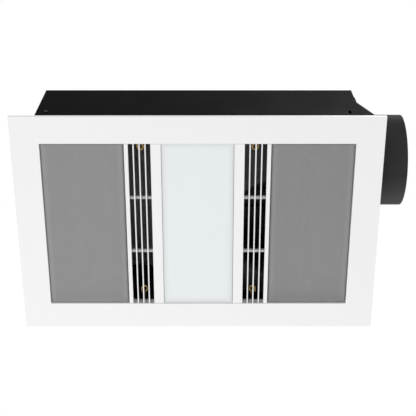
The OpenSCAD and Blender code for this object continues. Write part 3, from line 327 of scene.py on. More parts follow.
skinDepth = 0.0002      # height of the bumps in a moulded or coated skin
lineDepth = 0.0001      # height of the lines in bare metal, and of frosting
usualDustPatch = 18.0


def newMaterial(name, values):
    mat = bpy.data.materials.new(name)
    mat.use_nodes = True
    shader = mat.node_tree.nodes["Principled BSDF"]
    for label, value in values.items():
        shader.inputs[label].default_value = value
    return mat, mat.node_tree, shader


def useGroup(tree, group, x, y, **values):
    node = addNode(tree, "ShaderNodeGroup", x, y, node_tree=group)
    for label, value in values.items():
        name = "".join(" " + c if c.isupper() else c for c in label).strip()
        name = name[0].upper() + name[1:]
        sock = node.inputs[name]
        if isinstance(value, bpy.types.NodeSocket):
            tree.links.new(value, sock)
        else:
            sock.default_value = value
    return node


def withAlpha(colour):
    return tuple(colour) + (1.0,)


def toned(tree, s):
    t = useGroup(tree, tone, -1100, 300, Colour=withAlpha(s["colour"]), Drift=s["drift"],
                 PatchSize=s["patch"], Mottle=s["mottle"], MottleSize=s["mottleSize"])
    return t.outputs["Colour"]


def linkGloss(tree, shader, group, s, **values):
    g = useGroup(tree, group, -800, -200, Roughness=s["rough"], RoughnessSpread=s["roughSpread"], **values)
    tree.links.new(g.outputs["Roughness"], shader.inputs["Roughness"])
    return g.outputs["Height"]


def linkBump(tree, shader, height, strength, depth, normal=None):
    bump = addNode(tree, "ShaderNodeBump", -300, -300)
    bump.inputs["Strength"].default_value = strength
    bump.inputs["Distance"].default_value = depth
    tree.links.new(height, bump.inputs["Height"])
    if normal is not None:
        tree.links.new(normal, bump.inputs["Normal"])
    tree.links.new(bump.outputs[0], shader.inputs["Normal"])


def coatedFinish(name, s):
    # moulded plastic or powder coat: tone drift, grain, soft edges, some dust and rub
    mat, tree, shader = newMaterial(name, s.get("shader", {}))
    last = toned(tree, s)
    normal = None
    if s.get("rub"):
        r = useGroup(tree, rub, -800, 300, Colour=last, RubbedColour=withAlpha(s["rubColour"]),
                     Amount=s["rub"], Radius=s["edge"])
        last, normal = r.outputs["Colour"], r.outputs["Normal"]
    if s.get("dust"):
        d = useGroup(tree, dust, -500, 300, Colour=last, DustColour=withAlpha(s["dustColour"]),
                     Amount=s["dust"], PatchSize=s.get("dustPatch", usualDustPatch))
        last = d.outputs["Colour"]
    # painted shade on faces that look along x, such as the grille's slot walls
    if s.get("walls"):
        w = useGroup(tree, slotShade, -350, 500, Colour=last, WallColour=withAlpha(s["wallColour"]),
                     Amount=s["walls"])
        last = w.outputs["Colour"]
    if s.get("joint"):    # painted shade in the thin gap where a panel's ends meet the frame
        j = useGroup(tree, rimShade, -200, 300, Colour=last, RimColour=withAlpha(s["jointShadeColour"]),
                     HalfWidth=s["halfWidth"], HalfLength=s["halfLength"], Band=s["joint"],
                     Falloff=s["jointFalloff"])
        last = j.outputs["Colour"]
    tree.links.new(last, shader.inputs["Base Color"])
    height = linkGloss(tree, shader, grain, s, GrainSize=s["grain"])
    linkBump(tree, shader, height, s["bump"], skinDepth, normal)
    return mat


def metalFinish(name, s):
    # bare or plated metal: lines along one axis, a little tone drift
    mat, tree, shader = newMaterial(name, s.get("shader", {}))
    shader.inputs["Metallic"].default_value = s.get("metallic", 1.0)
    last = toned(tree, s)
    if s.get("band"):    # painted highlight: the sheet is a little lighter in a band along its rim
        e = useGroup(tree, rimShade, -500, 300, Colour=last, RimColour=withAlpha(s["highlightBandColour"]),
                     Centre=s["centre"], HalfWidth=s["halfWidth"], HalfLength=s["halfLength"],
                     Band=s["band"], Falloff=s["bandFalloff"])
        last = e.outputs["Colour"]
    tree.links.new(last, shader.inputs["Base Color"])
    height = linkGloss(tree, shader, brush, s, Stretch=s["stretch"], LineSize=s["lines"])
    linkBump(tree, shader, height, s["bump"], lineDepth)
    return mat


fasciaSettings = {
    "colour": (0.90, 0.90, 0.90), "drift": 0.012, "patch": 5.0, "mottle": 0.006, "mottleSize": 500.0,
    "rub": 0.10, "rubColour": (0.95, 0.95, 0.94), "edge": 0.0005,
    "dust": 0.05, "dustColour": (0.62, 0.6, 0.56),
    "grain": 1600.0, "rough": 0.42, "roughSpread": 0.05, "bump": 0.05,
    "shader": {"Specular IOR Level": 0.05}}
fasciaFinish = coatedFinish("fasciaWhite", fasciaSettings)
# only the grille's ends get the joint's painted shade, so its half width lies far outside it
# the grille's walls setting paints shade onto its slot walls
grilleFinish = coatedFinish("grilleWhite", dict(
    fasciaSettings, walls=1.0, wallColour=(0.30, 0.30, 0.30), joint=0.0010,
    jointShadeColour=(0.55, 0.55, 0.545), jointFalloff=0.5, halfWidth=1.0, halfLength=0.1449))
housingSettings = {
    "colour": (0.0082, 0.0082, 0.0086), "drift": 0.15, "patch": 4.0, "mottle": 0.25, "mottleSize": 700.0,
    "rub": 0.25, "rubColour": (0.04, 0.04, 0.04), "edge": 0.0008,
    "dust": 0.045, "dustColour": (0.15, 0.145, 0.135), "dustPatch": 34.0,
    "grain": 1300.0, "rough": 0.6, "roughSpread": 0.06, "bump": 0.2,
    "shader": {"Specular IOR Level": 0.004}}
housingFinish = coatedFinish("housingBlack", housingSettings)
lidFinish = coatedFinish("lidBlack", dict(
    housingSettings, colour=(0.011, 0.011, 0.0115), rough=0.42, dust=0.05,
    shader={"Specular IOR Level": 0.18}))
deckFinish = coatedFinish("deckGrey", {
    "colour": (0.42, 0.42, 0.42), "drift": 0.06, "patch": 8.0, "mottle": 0.05, "mottleSize": 700.0,
    "rub": 0.3, "rubColour": (0.2, 0.2, 0.2), "edge": 0.0008,
    "dust": 0.2, "dustColour": (0.30, 0.28, 0.25),
    "grain": 1300.0, "rough": 0.5, "roughSpread": 0.06, "bump": 0.15,
    "shader": {"Specular IOR Level": 0.2}})
adaptorSettings = {
    "colour": (0.046, 0.046, 0.047), "drift": 0.15, "patch": 9.0, "mottle": 0.15, "mottleSize": 900.0,
    "rub": 0.3, "rubColour": (0.09, 0.09, 0.09), "edge": 0.0007,
    "dust": 0.12, "dustColour": (0.22, 0.21, 0.19),
    "grain": 1500.0, "rough": 0.36, "roughSpread": 0.06, "bump": 0.12,
    "shader": {"Specular IOR Level": 0.0}}
adaptorFinish = coatedFinish("adaptorBlack", adaptorSettings)
spigotFinish = coatedFinish("spigotBlack", dict(
    adaptorSettings, colour=(0.038, 0.038, 0.039), rough=0.45, shader={"Specular IOR Level": 0.002}))
fanFinish = coatedFinish("fanBlack", {
    "colour": (0.014, 0.014, 0.014), "drift": 0.15, "patch": 12.0, "mottle": 0.15, "mottleSize": 800.0,
    "rub": 0.25, "rubColour": (0.06, 0.06, 0.06), "edge": 0.0005,
    "dust": 0.2, "dustColour": (0.22, 0.21, 0.19),
    "grain": 1400.0, "rough": 0.4, "roughSpread": 0.06, "bump": 0.12,
    "shader": {"Specular IOR Level": 0.3}})
whitePartFinish = coatedFinish("whitePart", {
    "colour": (0.80, 0.80, 0.77), "drift": 0.03, "patch": 20.0, "mottle": 0.02, "mottleSize": 600.0,
    "dust": 0.12, "dustColour": (0.45, 0.43, 0.39),
    "grain": 1500.0, "rough": 0.5, "roughSpread": 0.06, "bump": 0.1})
whiteSheetFinish = coatedFinish("whiteSheet", {
    "colour": (0.82, 0.82, 0.81), "drift": 0.02, "patch": 8.0, "mottle": 0.015, "mottleSize": 500.0,
    "dust": 0.12, "dustColour": (0.45, 0.43, 0.39),
    "grain": 1200.0, "rough": 0.4, "roughSpread": 0.05, "bump": 0.1})
ceramicFinish = coatedFinish("ceramic", {
    "colour": (0.80, 0.76, 0.68), "drift": 0.06, "patch": 60.0, "mottle": 0.05, "mottleSize": 1500.0,
    "grain": 2600.0, "rough": 0.75, "roughSpread": 0.06, "bump": 0.3})
leadFinish = coatedFinish("leadSleeve", {
    "colour": (0.42, 0.05, 0.035), "drift": 0.1, "patch": 30.0, "mottle": 0.1, "mottleSize": 1800.0,
    "grain": 2400.0, "rough": 0.6, "roughSpread": 0.06, "bump": 0.25})
boardFinish = coatedFinish("circuitBoard", {
    "colour": (0.86, 0.86, 0.84), "drift": 0.02, "patch": 15.0, "mottle": 0.02, "mottleSize": 900.0,
    "grain": 1200.0, "rough": 0.3, "roughSpread": 0.05, "bump": 0.08})
diodeFinish = coatedFinish("diodeLens", {
    "colour": (0.86, 0.68, 0.22), "drift": 0.08, "patch": 120.0, "mottle": 0.05, "mottleSize": 2500.0,
    "grain": 3000.0, "rough": 0.22, "roughSpread": 0.05, "bump": 0.06})

zincFinish = metalFinish("zincPlate", {
    "colour": (0.60, 0.61, 0.62), "drift": 0.12, "patch": 40.0, "mottle": 0.08, "mottleSize": 900.0,
    "stretch": (1.0, 1.0, 0.05), "lines": 1500.0, "rough": 0.32, "roughSpread": 0.08, "bump": 0.06})
blackScrewFinish = metalFinish("blackScrew", {
    "colour": (0.020, 0.020, 0.021), "drift": 0.15, "patch": 90.0, "mottle": 0.1, "mottleSize": 900.0,
    "stretch": (1.0, 1.0, 0.05), "lines": 1500.0, "rough": 0.46, "roughSpread": 0.08, "bump": 0.06,
    "metallic": 0.4, "shader": {"Specular IOR Level": 0.15}})
springFinish = metalFinish("springSteel", {
    "colour": (0.50, 0.50, 0.51), "drift": 0.1, "patch": 60.0, "mottle": 0.06, "mottleSize": 1500.0,
    "stretch": (1.0, 1.0, 1.0), "lines": 2600.0, "rough": 0.28, "roughSpread": 0.08, "bump": 0.05})
brassFinish = metalFinish("brassWire", {
    "colour": (0.86, 0.58, 0.22), "drift": 0.2, "patch": 120.0, "mottle": 0.12, "mottleSize": 1800.0,
    "stretch": (1.0, 1.0, 1.0), "lines": 2400.0, "rough": 0.42, "roughSpread": 0.10, "bump": 0.06})
aluminiumFinish = metalFinish("reflectorSheet", {
    "colour": (0.86, 0.87, 0.88), "drift": 0.03, "patch": 10.0, "mottle": 0.03, "mottleSize": 500.0,
    "stretch": (1.0, 0.02, 1.0), "lines": 1400.0, "rough": 0.24, "roughSpread": 0.06, "bump": 0.05})
galvanisedFinish = metalFinish("galvanisedSheet", {
    "colour": (0.10, 0.10, 0.105), "drift": 0.25, "patch": 70.0, "mottle": 0.15, "mottleSize": 400.0,
    "stretch": (1.0, 1.0, 0.1), "lines": 900.0, "rough": 0.5, "roughSpread": 0.08, "bump": 0.08,
    "metallic": 0.35})
copperFinish = metalFinish("copperWinding", {
    "colour": (0.62, 0.28, 0.12), "drift": 0.2, "patch": 60.0, "mottle": 0.2, "mottleSize": 900.0,
    "stretch": (1.0, 1.0, 12.0), "lines": 500.0, "rough": 0.3, "roughSpread": 0.1, "bump": 0.4})
tungstenFinish = metalFinish("tungstenCoil", {
    "colour": (0.30, 0.28, 0.27), "drift": 0.15, "patch": 80.0, "mottle": 0.1, "mottleSize": 1600.0,
    "stretch": (1.0, 1.0, 1.0), "lines": 3000.0, "rough": 0.45, "roughSpread": 0.08, "bump": 0.08})
meshSettings = {
    "drift": 0.008, "patch": 8.0, "mottle": 0.015, "mottleSize": 900.0,
    "stretch": (1.0, 1.0, 1.0), "lines": 2200.0, "rough": 0.55, "roughSpread": 0.06, "bump": 0.05,
    "metallic": 0.0, "shader": {"Specular IOR Level": 0.2},
    "band": 0.010, "bandFalloff": 0.12, "bandGain": 1.10, "nearShift": 0.02,
}
guardSettings = {
    "pitch": 0.0013, "halfWide": 0.00046, "halfHigh": 0.00010, "lift": 0.00012, "bend": 0.0042,
    "sheet": 0.0008, "rim": 0.005, "frameEdge": 0.00025, "edgeSegments": 2,
    "border": 0.045, "clearance": 0.0001, "tabPlaces": (-0.05, 0.05), "tabHalf": 0.006,
}


def guardSpan(side, node, s):
    # from the guard's wall beside the grille to its wall at the window's lip
    low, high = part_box(node)
    inner, outer = (low.x, high.x - s["rim"]) if side > 0 else (high.x, low.x + s["rim"])
    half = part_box("fascia_frame")[1].y - s["border"] - s["clearance"]
    return min(inner, outer), max(inner, outer), half


def guardFinish(name, side, node, grey, s):
    # the painted highlight band along the rim leaves out the near end
    x0, x1, half = guardSpan(side, node, guardSettings)
    return metalFinish(name, dict(
        s, colour=(grey,) * 3, highlightBandColour=(grey * s["bandGain"],) * 3,
        centre=((x0 + x1) / 2, -s["nearShift"], 0),
        halfWidth=(x1 - x0) / 2, halfLength=half + s["nearShift"]))


# the right guard's wire is painted darker than the left's: painted shade, the same wire lit less on that
# side
meshFinish = guardFinish("meshWire", -1, "mesh_guard_left", 0.318, meshSettings)
shadedMeshFinish = guardFinish("meshWireShaded", 1, "mesh_guard_right", 0.283, meshSettings)


def panelFinish(name, s):
    # frosted light panel, a little darker round the rim: painted shade where it sits back in its window
    mat, tree, shader = newMaterial(name, s["shader"])
    r = useGroup(tree, rimShade, -600, 300, Colour=toned(tree, s), RimColour=withAlpha(s["rimColour"]),
                 HalfWidth=s["halfWidth"], HalfLength=s["halfLength"], Band=s["band"], Falloff=s["falloff"])
    tree.links.new(r.outputs["Colour"], shader.inputs["Base Color"])
    height = linkGloss(tree, shader, grain, s, GrainSize=s["grain"])
    linkBump(tree, shader, height, s["bump"], lineDepth)
    return mat


frostedFinish = panelFinish("frostedPanel", {
    "colour": (0.82, 0.855, 0.865), "rimColour": (0.68, 0.71, 0.72),
    "halfWidth": 0.0575, "halfLength": 0.1445, "band": 0.012, "falloff": 2.2,
    "drift": 0.01, "patch": 6.0, "mottle": 0.006, "mottleSize": 700.0,
    "grain": 2400.0, "rough": 0.38, "roughSpread": 0.04, "bump": 0.03,
    "shader": {"Specular IOR Level": 0.4}})


def quartzFinish(name, s):
    # clear tube with faint drawing lines in its gloss
    mat, tree, shader = newMaterial(name, s["shader"])
    linkGloss(tree, shader, brush, s, Stretch=s["stretch"], LineSize=s["lines"])
    return mat


quartz = quartzFinish("quartzTube", {
    "stretch": (1.0, 0.05, 1.0), "lines": 700.0, "rough": 0.03, "roughSpread": 0.02,
    "shader": {"Base Color": (0.97, 0.98, 0.99, 1), "Transmission Weight": 1.0, "IOR": 1.46}})
print("finishes: ready")


# the replaced nodes are hidden, and have their finish for whoever shows them

nodeFinishes = {
    "fascia_frame": fasciaFinish, "grille_left": grilleFinish, "grille_right": grilleFinish,
    "mesh_guard_left": meshFinish, "mesh_guard_right": shadedMeshFinish,
    "fascia_screws": zincFinish, "spring_anchors": zincFinish, "fascia_springs": springFinish,
    "spring_hooks": brassFinish, "hook_nuts": brassFinish,
    "housing_flange": housingFinish, "housing_sides": housingFinish, "housing_ends": housingFinish,
    "lid_ledge": housingFinish, "housing_lid": lidFinish, "lid_screws": blackScrewFinish,
    "wiring_deck": deckFinish, "terminal_block": whitePartFinish, "fan_capacitor": whitePartFinish,
    "light_driver": whitePartFinish, "cable_gland": fanFinish, "gland_nut": fanFinish,
    "wiring_loom": leadFinish, "scroll_floor": galvanisedFinish, "scroll_wall": galvanisedFinish,
    "scroll_cover": galvanisedFinish,
    "inlet_ring": fanFinish, "fan_posts": zincFinish, "motor_can": zincFinish, "motor_cover": zincFinish,
    "motor_stator": copperFinish, "motor_screws": zincFinish, "impeller_plate": fanFinish,
    "impeller_blades": fanFinish, "motor_rotor": zincFinish,
    "motor_shaft": zincFinish, "impeller_nut": zincFinish, "duct_adaptor": adaptorFinish,
    "spigot_tube": spigotFinish,
    "adaptor_screws": zincFinish, "damper_pin": zincFinish, "damper_spring": springFinish,
    "damper_flap_near": galvanisedFinish, "damper_flap_far": galvanisedFinish,
    "reflector_left": aluminiumFinish, "reflector_right": aluminiumFinish, "reflector_screws": zincFinish,
    "heat_lamp_left": quartz, "heat_lamp_right": quartz, "lamp_filaments": tungstenFinish,
    "lamp_caps": ceramicFinish, "lamp_holders": zincFinish, "thermal_cutouts": ceramicFinish,
    "light_tray": whiteSheetFinish, "tray_brackets": zincFinish, "tray_screws": zincFinish,
    "led_board": boardFinish, "led_chips": diodeFinish, "light_diffuser": frostedFinish,
}
for nodeName, finish in nodeFinishes.items():
    mesh = nodes[nodeName].data
    mesh.materials.clear()
    mesh.materials.append(finish)
print("finishes: laid on", len(nodeFinishes), "nodes")


# mesh makers

def placeMesh(name, mesh, finish):
    mesh.materials.append(finish)
    obj = bpy.data.objects.new(name, mesh)
    bpy.context.scene.collection.objects.link(obj)
    return obj


def meshObject(name, points, faces, finish, body, smooth=False):
    mesh = bpy.data.meshes.new(name)
    mesh.from_pydata([tuple(p) for p in points], [], [tuple(f) for f in faces])
    mesh.update()
    if smooth:
        mesh.polygons.foreach_set("use_smooth", [True] * len(mesh.polygons))
    obj = placeMesh(name, mesh, finish)
    if body:        # a piece that crosses a joint has none, and stays unattached
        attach(obj, body)
    return obj


def sweep(path, radius, sides, closedEnds=True):
    # round tube along a path, its rings carried along without twisting
    path = [Vector(p) for p in path]
    count = len(path)
    radii = radius if isinstance(radius, (list, tuple)) else [radius] * count
    tangents = [(path[min(i + 1, count - 1)] - path[max(i - 1, 0)]).normalized() for i in range(count)]
    steep = 0.9     # a path that starts this near to upright is measured from x instead of z
    helper = Vector((0, 0, 1)) if abs(tangents[0].z) < steep else Vector((1, 0, 0))
    u = tangents[0].cross(helper).normalized()
    points, faces = [], []
    for i in range(count):
        u = (u - tangents[i] * u.dot(tangents[i])).normalized()
        v = tangents[i].cross(u)
        for k in range(sides):
            a = 2 * math.pi * k / sides
            points.append(path[i] + radii[i] * (math.cos(a) * u + math.sin(a) * v))
    for i in range(count - 1):
        for k in range(sides):
            a, b = i * sides + k, i * sides + (k + 1) % sides
            faces.append((a, b, b + sides, a + sides))
    if closedEnds:
        faces.append(tuple(range(sides))[::-1])
        faces.append(tuple((count - 1) * sides + k for k in range(sides)))
    return points, faces


def gather(parts):
    points, faces = [], []
    for p, f in parts:
        base = len(points)
        points += list(p)
        faces += [tuple(i + base for i in face) for face in f]
    return points, faces


def mirrorPart(points, faces, sx, sy, centre):
    moved = [(sx * (p[0] + centre[0]), sy * (p[1] + centre[1]), p[2] + centre[2]) for p in points]
    if sx * sy < 0:
        faces = [f[::-1] for f in faces]
    return moved, faces


def polar(radius, degrees):
    return radius * math.cos(math.radians(degrees)), radius * math.sin(math.radians(degrees))


def slab(x0, x1, y0, y1, z0, z1):
    points = [(x, y, z) for x in sorted((x0, x1)) for y in sorted((y0, y1)) for z in (z0, z1)]
    faces = [(0, 1, 3, 2), (4, 6, 7, 5), (0, 4, 5, 1), (2, 3, 7, 6), (0, 2, 6, 4), (1, 5, 7, 3)]
    return points, faces


# woven mesh guards, in the place of the plain pans; their settings stand with their finish

def bentUp(x, y, x0, x1, y0, y1, r):
    # the sheet's edges turn up to the walls in a quarter round
    rise = np.zeros_like(x)
    for edge in (x - x0, x1 - x, y - y0, y1 - y):
        inside = np.clip(r - edge, 0, r)
        rise += r - np.sqrt(r * r - inside * inside)
    return np.minimum(rise, r)


def wovenWires(x0, x1, y0, y1, z, s):
    across = int(round((x1 - x0) / s["pitch"]))
    along = int(round((y1 - y0) / s["pitch"]))
    px, py = (x1 - x0) / across, (y1 - y0) / along
    corners = [(c * s["halfWide"], d * s["halfHigh"]) for c, d in ((1, 1), (-1, 1), (-1, -1), (1, -1))]
    rings = []
    faces = []

    def lay(fixed, start, step, crossings, phase, alongY):
        count = crossings + 2
        base = rings[-1][1] if rings else 0
        t = start + step * np.clip(np.arange(count) - 0.5, 0, crossings)
        lift = np.zeros(count)
        lift[1:-1] = s["lift"] * np.where((np.arange(crossings) + phase) % 2 == 0, 1, -1)
        pts = np.zeros((count, 4, 3))
        for k, (c, d) in enumerate(corners):
            if alongY:
                pts[:, k, 0], pts[:, k, 1] = fixed + c, t
            else:
                pts[:, k, 1], pts[:, k, 0] = fixed + c, t
            pts[:, k, 2] = z + lift + d + bentUp(pts[:, k, 0], pts[:, k, 1], x0, x1, y0, y1, s["bend"])
        rings.append((pts.reshape(-1, 3), base + count * 4))
        i = np.arange(count - 1)[:, None] * 4 + base
        k = np.arange(4)[None, :]
        a, b = i + k, i + (k + 1) % 4
        quads = np.stack([a, b, b + 4, a + 4] if not alongY else [a, a + 4, b + 4, b], axis=-1)
        faces.append(quads.reshape(-1, 4))

    for i in range(across):
        lay(x0 + px * (i + 0.5), y0, py, along, i, True)
    for j in range(along):
        lay(y0 + py * (j + 0.5), x0, px, across, j + 1, False)
    return np.concatenate([r[0] for r in rings]), np.concatenate(faces)


def denseMesh(name, points, faces, finish, body):
    mesh = bpy.data.meshes.new(name)
    mesh.vertices.add(len(points))
    mesh.vertices.foreach_set("co", points.astype(np.float32).ravel())
    mesh.loops.add(faces.size)
    mesh.loops.foreach_set("vertex_index", faces.astype(np.int32).ravel())
    mesh.polygons.add(len(faces))
    mesh.polygons.foreach_set("loop_start", np.arange(0, faces.size, 4, dtype=np.int32))
    mesh.update(calc_edges=True)
    mesh.polygons.foreach_set("use_smooth", np.ones(len(faces), dtype=bool))
    obj = placeMesh(name, mesh, finish)
    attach(obj, body)
    return obj


def makeGuard(side, node, finish, s):
    low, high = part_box(node)
    t = s["sheet"]
    # the pan's walls stand at the window's lip and beside the grille; the rim lies on the lips
    x0, x1, half = guardSpan(side, node, s)
    floor = low.z
    points, faces = wovenWires(x0 + t * 0.5, x1 - t * 0.5, -half + t * 0.5, half - t * 0.5,
                               floor + s["lift"] + s["halfHigh"], s)
    wires = denseMesh(node + "Wires", points, faces, finish, "fascia")
    rimTop = high.z
    foot = floor + s["bend"]
    parts = [slab(x0, x0 + t, -half, half, foot, rimTop), slab(x1 - t, x1, -half, half, foot, rimTop),
             slab(x0 + t, x1 - t, -half, -half + t, foot, rimTop),
             slab(x0 + t, x1 - t, half - t, half, foot, rimTop)]
    edge0, edge1 = (x0, x1 + s["rim"]) if side > 0 else (x0 - s["rim"], x1)
    for y in (-1, 1):
        parts.append(slab(edge0, edge1, y * half, y * (half + s["rim"]), rimTop - t, rimTop))
    a, b = (x1, x1 + s["rim"]) if side > 0 else (x0 - s["rim"], x0)
    parts.append(slab(a, b, -half, half, rimTop - t, rimTop))
    # tabs under the screws
    middle = (x0 + x1) / 2
    for y in (-1, 1):
        for place in s["tabPlaces"]:
            parts.append(slab(middle + place - s["tabHalf"], middle + place + s["tabHalf"],
                              y * (half + s["rim"]), y * high.y, rimTop - t, rimTop))
    points, faces = gather(parts)
    pan = meshObject(node + "Frame", points, faces, finish, "fascia")
    bevel = pan.modifiers.new("soft", "BEVEL")
    bevel.width = s["frameEdge"]
    bevel.segments = s["edgeSegments"]
    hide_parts(node)
    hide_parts(node)


makeGuard(-1, "mesh_guard_left", meshFinish, guardSettings)
makeGuard(1, "mesh_guard_right", shadedMeshFinish, guardSettings)
print("guards: woven")


# brass hooks, smooth bent wire with a thread and a collar at the wall

hookSettings = {
    "centre": (0.09225, 0.1303, 0.0205), "wire": 0.00158, "curlWire": 0.0018, "sides": 20,
    "tip": (0.55, 0.9, 1.0), "leg": 0.008, "legSteps": 5, "loop": 0.00485, "bend": 0.003,
    "turn": 54, "arcStep": 9, "stemSteps": 6, "plainTo": 0.158, "tail": 0.172, "thread": 0.0008,
    "root": 0.82, "wall": 0.164,
    "collar": ((0.0, 0.0036), (0.0004, 0.0036), (0.0011, 0.0030), (0.0015, 0.0018)),    # depth, radius
    "collarSides": 24,
}


def hookPath(s):
    path = []
    for k in range(s["legSteps"]):
        path.append((s["loop"], s["leg"] * (1 - k / s["legSteps"]), 0))
    for a in range(0, -180 - s["turn"] - 1, -s["arcStep"]):
        path.append((*polar(s["loop"], a), 0))
    curl = len(path)
    far = s["loop"] + s["bend"]
    cx, cy = -far * math.cos(math.radians(s["turn"])), far * math.sin(math.radians(s["turn"]))
    for a in range(s["arcStep"] - s["turn"], 1, s["arcStep"]):
        dx, dy = polar(s["bend"], a)
        path.append((cx + dx, cy + dy, 0))
    bent = len(path)
    stemX, stemY = path[-1][0], path[-1][1]
    for k in range(1, s["stemSteps"] + 1):
        path.append((stemX, stemY + (s["plainTo"] - s["centre"][1] - stemY) * k / s["stemSteps"], 0))
    # the curl's wire is thicker than the stem, and tapers down to it round the bend
    radii = [s["curlWire"] * f for f in s["tip"]] + [s["curlWire"]] * (curl - len(s["tip"]))
    taper = bent - curl
    radii += [s["curlWire"] + (s["wire"] - s["curlWire"]) * k / taper for k in range(1, taper + 1)]
    radii += [s["wire"]] * (len(path) - bent)
    return path, radii, stemX


def makeHooks(s):
    path, radii, stemX = hookPath(s)
    start = path[-1][1]
    end = s["tail"] - s["centre"][1]
    steps = int((end - start) / s["thread"]) * 2
    for k in range(1, steps + 1):        # thread: crests and roots along the stem
        path.append((stemX, start + (end - start) * k / steps, 0))
        radii.append(s["wire"] * (1.0 if k % 2 else s["root"]))
    wire = sweep(path, radii, s["sides"])
    collarPath = [(stemX, s["wall"] - s["centre"][1] - depth, 0) for depth, radius in s["collar"]]
    collar = sweep(collarPath, [radius for depth, radius in s["collar"]], s["collarSides"])
    parts = []
    for sx in (-1, 1):
        for sy in (-1, 1):
            for points, faces in (wire, collar):
                parts.append(mirrorPart(points, faces, sx, sy, s["centre"]))
    points, faces = gather(parts)
    hooks = meshObject("brassHooks", points, faces, brassFinish, "housing", smooth=True)
    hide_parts("spring_hooks")


makeHooks(hookSettings)
print("hooks: bent")


# fascia springs, a loop round the hook's stem, the coil and a loop round the anchor's pin

springSettings = {
    "stemX": 0.09064, "stemZ": 0.0205, "pinZ": 0.006, "pinInset": 0.007, "y": 0.157, "wire": 0.0005,
    "loop": 0.0024, "arcStep": 15, "coil": 0.0035, "leg": 0.009, "turns": 16, "steps": 20, "sides": 8,
    "hold": 0.0028,     # this much at each end, from the loops inward; the points it gives are left unused
}


def springPath(s):
    start = Vector((s["stemX"], s["y"], s["stemZ"]))
    end = Vector((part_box("spring_anchors")[1].x - s["pinInset"], s["y"], s["pinZ"]))
    length = (end - start).length
    along = (end - start).normalized()
    side = Vector((0, 1, 0))
    up = along.cross(side)
    path = []

    def put(a, n, b):
        path.append(start + a * along + n * up + b * side)

    for a in range(360, 89, -s["arcStep"]):
        put(*polar(s["loop"], a), 0)
    total = s["turns"] * s["steps"]
    ramp = s["steps"] / 2
    for k in range(total + 1):
        r = s["loop"] + (s["coil"] - s["loop"]) * min(1, k / ramp, (total - k) / ramp)
        a = 2 * math.pi * k / s["steps"]
        put(s["leg"] + (length - 2 * s["leg"]) * k / total, r * math.cos(a), r * math.sin(a))
    for a in range(90, -181, -s["arcStep"]):
        dx, dz = polar(s["loop"], a)
        put(length + dx, dz, 0)
    return path, start + s["hold"] * along, end - s["hold"] * along


def makeSprings(s):
    # the loops sit round the hook and round the anchor, the coil runs between them
    path, start, end = springPath(s)
    p, f = sweep(path, s["wire"], s["sides"])
    for sx, label in ((-1, "Left"), (1, "Right")):
        points, faces = gather([mirrorPart(p, f, sx, sy, (0, 0, 0)) for sy in (-1, 1)])
        springs = meshObject("fasciaSprings" + label, points, faces, springFinish, None, smooth=True)
        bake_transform(springs)
        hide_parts("fascia_springs")


makeSprings(springSettings)
print("springs: wound")


# filaments, coiled wire held by small wire rings inside the quartz tubes

filamentSettings = {
    "coil": 0.0013, "wire": 0.00028, "pitch": 0.0013, "steps": 10, "sides": 5,
    "inset": 0.0005, "coilInset": 0.008, "lead": 0.001,
    "discs": 9, "discRadius": 0.0035, "discWire": 0.00022, "discSteps": 20,
}


def makeFilaments(s):
    parts = []
    for side in ("left", "right"):
        low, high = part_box("heat_lamp_" + side)
        x, z = (low.x + high.x) / 2, (low.z + high.z) / 2
        start, end = low.y + s["coilInset"], high.y - s["coilInset"]
        total = int((end - start) / s["pitch"]) * s["steps"]
        path = [(x, low.y + s["inset"], z), (x, start - s["lead"], z)]
        for k in range(total + 1):
            a = 2 * math.pi * k / s["steps"]
            grow = min(1.0, k / s["steps"], (total - k) / s["steps"])
            path.append((x + grow * s["coil"] * math.cos(a), start + (end - start) * k / total,
                         z + grow * s["coil"] * math.sin(a)))
        path += [(x, end + s["lead"], z), (x, high.y - s["inset"], z)]
        parts.append(sweep(path, s["wire"], s["sides"]))
        for k in range(s["discs"]):
            y = start + (end - start) * (k + 0.5) / s["discs"]
            ring = [(x + s["discRadius"] * math.cos(t), y, z + s["discRadius"] * math.sin(t))
                    for t in [2 * math.pi * i / s["discSteps"] for i in range(s["discSteps"])]]
            parts.append(sweep(ring + [ring[0]], s["discWire"], s["sides"], closedEnds=False))
    points, faces = gather(parts)
    coils = meshObject("filamentCoils", points, faces, tungstenFinish, "housing", smooth=True)
    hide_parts("lamp_filaments")


makeFilaments(filamentSettings)
print("filaments: coiled")


# floor, world and lamps

stageSettings = {
    "level": -2.4, "size": 30.0, "colour": (0.85, 0.85, 0.85), "drift": 0.01, "patch": 0.6,
    "mottle": 0.005, "mottleSize": 20.0, "grain": 60.0, "rough": 0.8, "roughSpread": 0.03,
    "shader": {"Specular IOR Level": 0.1},
    "worldLight": 0.82,     # what the white backdrop gives to the object, less than it shows
}


def makeFloor(s):
    half = s["size"] / 2
    z = s["level"]
    mesh = bpy.data.meshes.new("floor")
    mesh.from_pydata([(-half, -half, z), (half, -half, z), (half, half, z), (-half, half, z)], [],
                     [(0, 1, 2, 3)])
    mat, tree, shader = newMaterial("floorPaint", s["shader"])
    tree.links.new(toned(tree, s), shader.inputs["Base Color"])
    linkGloss(tree, shader, grain, s, GrainSize=s["grain"])
    floor = placeMesh("floor", mesh, mat)


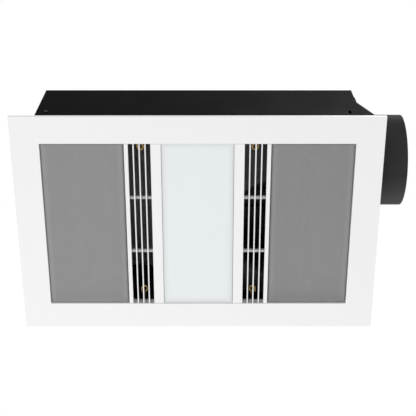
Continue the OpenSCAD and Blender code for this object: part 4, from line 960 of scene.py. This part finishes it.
def makeWorld(s):
    world = bpy.data.worlds.new("studio")
    world.use_nodes = True
    tree = world.node_tree
    tree.nodes.clear()
    out = addNode(tree, "ShaderNodeOutputWorld", 600, 0)
    seen = addNode(tree, "ShaderNodeBackground", 100, 150)
    seen.inputs["Color"].default_value = (1, 1, 1, 1)
    seen.inputs["Strength"].default_value = 1.0
    light = addNode(tree, "ShaderNodeBackground", 100, -50)
    light.inputs["Color"].default_value = (1, 1, 1, 1)
    light.inputs["Strength"].default_value = s["worldLight"]
    ray = addNode(tree, "ShaderNodeLightPath", -500, 200)
    straight = mathNode(tree, "MAXIMUM", ray.outputs["Is Camera Ray"], ray.outputs["Is Glossy Ray"],
                        -300, 200)
    straight = mathNode(tree, "MAXIMUM", straight, ray.outputs["Is Transmission Ray"], -100, 200)
    mix = addNode(tree, "ShaderNodeMixShader", 350, 0)
    tree.links.new(straight, mix.inputs[0])
    tree.links.new(light.outputs[0], mix.inputs[1])
    tree.links.new(seen.outputs[0], mix.inputs[2])
    tree.links.new(mix.outputs[0], out.inputs[0])
    bpy.context.scene.world = world


lampSettings = [
    {"name": "keyLamp", "place": (-1.5, 0.3, -1.7), "aim": (0, 0, 0.05), "size": 1.6, "power": 10.5},
    {"name": "backLamp", "place": (0.40, 1.8, -0.02), "aim": (0.3, 0, 0.05), "size": 0.5, "power": 42.0},
    {"name": "glossLamp", "place": (0.9, -1.0, 1.9), "aim": (0.2, -0.165, 0.1), "size": 1.2, "power": 46.0,
     "glossOnly": True},
    {"name": "topLamp", "place": (0.2, 1.1, 2.1), "aim": (0, 0, 0.1), "size": 1.4, "power": 14.0},
]


def makeLamps(lamps):
    for s in lamps:
        data = bpy.data.lights.new(s["name"], "AREA")
        data.shape = "SQUARE"
        data.size = s["size"]
        data.energy = s["power"]
        lamp = bpy.data.objects.new(s["name"], data)
        lamp.location = s["place"]
        lamp.visible_diffuse = not s.get("glossOnly", False)
        aim = Vector(s["aim"]) - Vector(s["place"])
        lamp.rotation_euler = aim.to_track_quat("-Z", "Y").to_euler()
        bpy.context.scene.collection.objects.link(lamp)


makeFloor(stageSettings)
makeWorld(stageSettings)
makeLamps(lampSettings)
print("stage: floor, world and", len(lampSettings), "lamps")
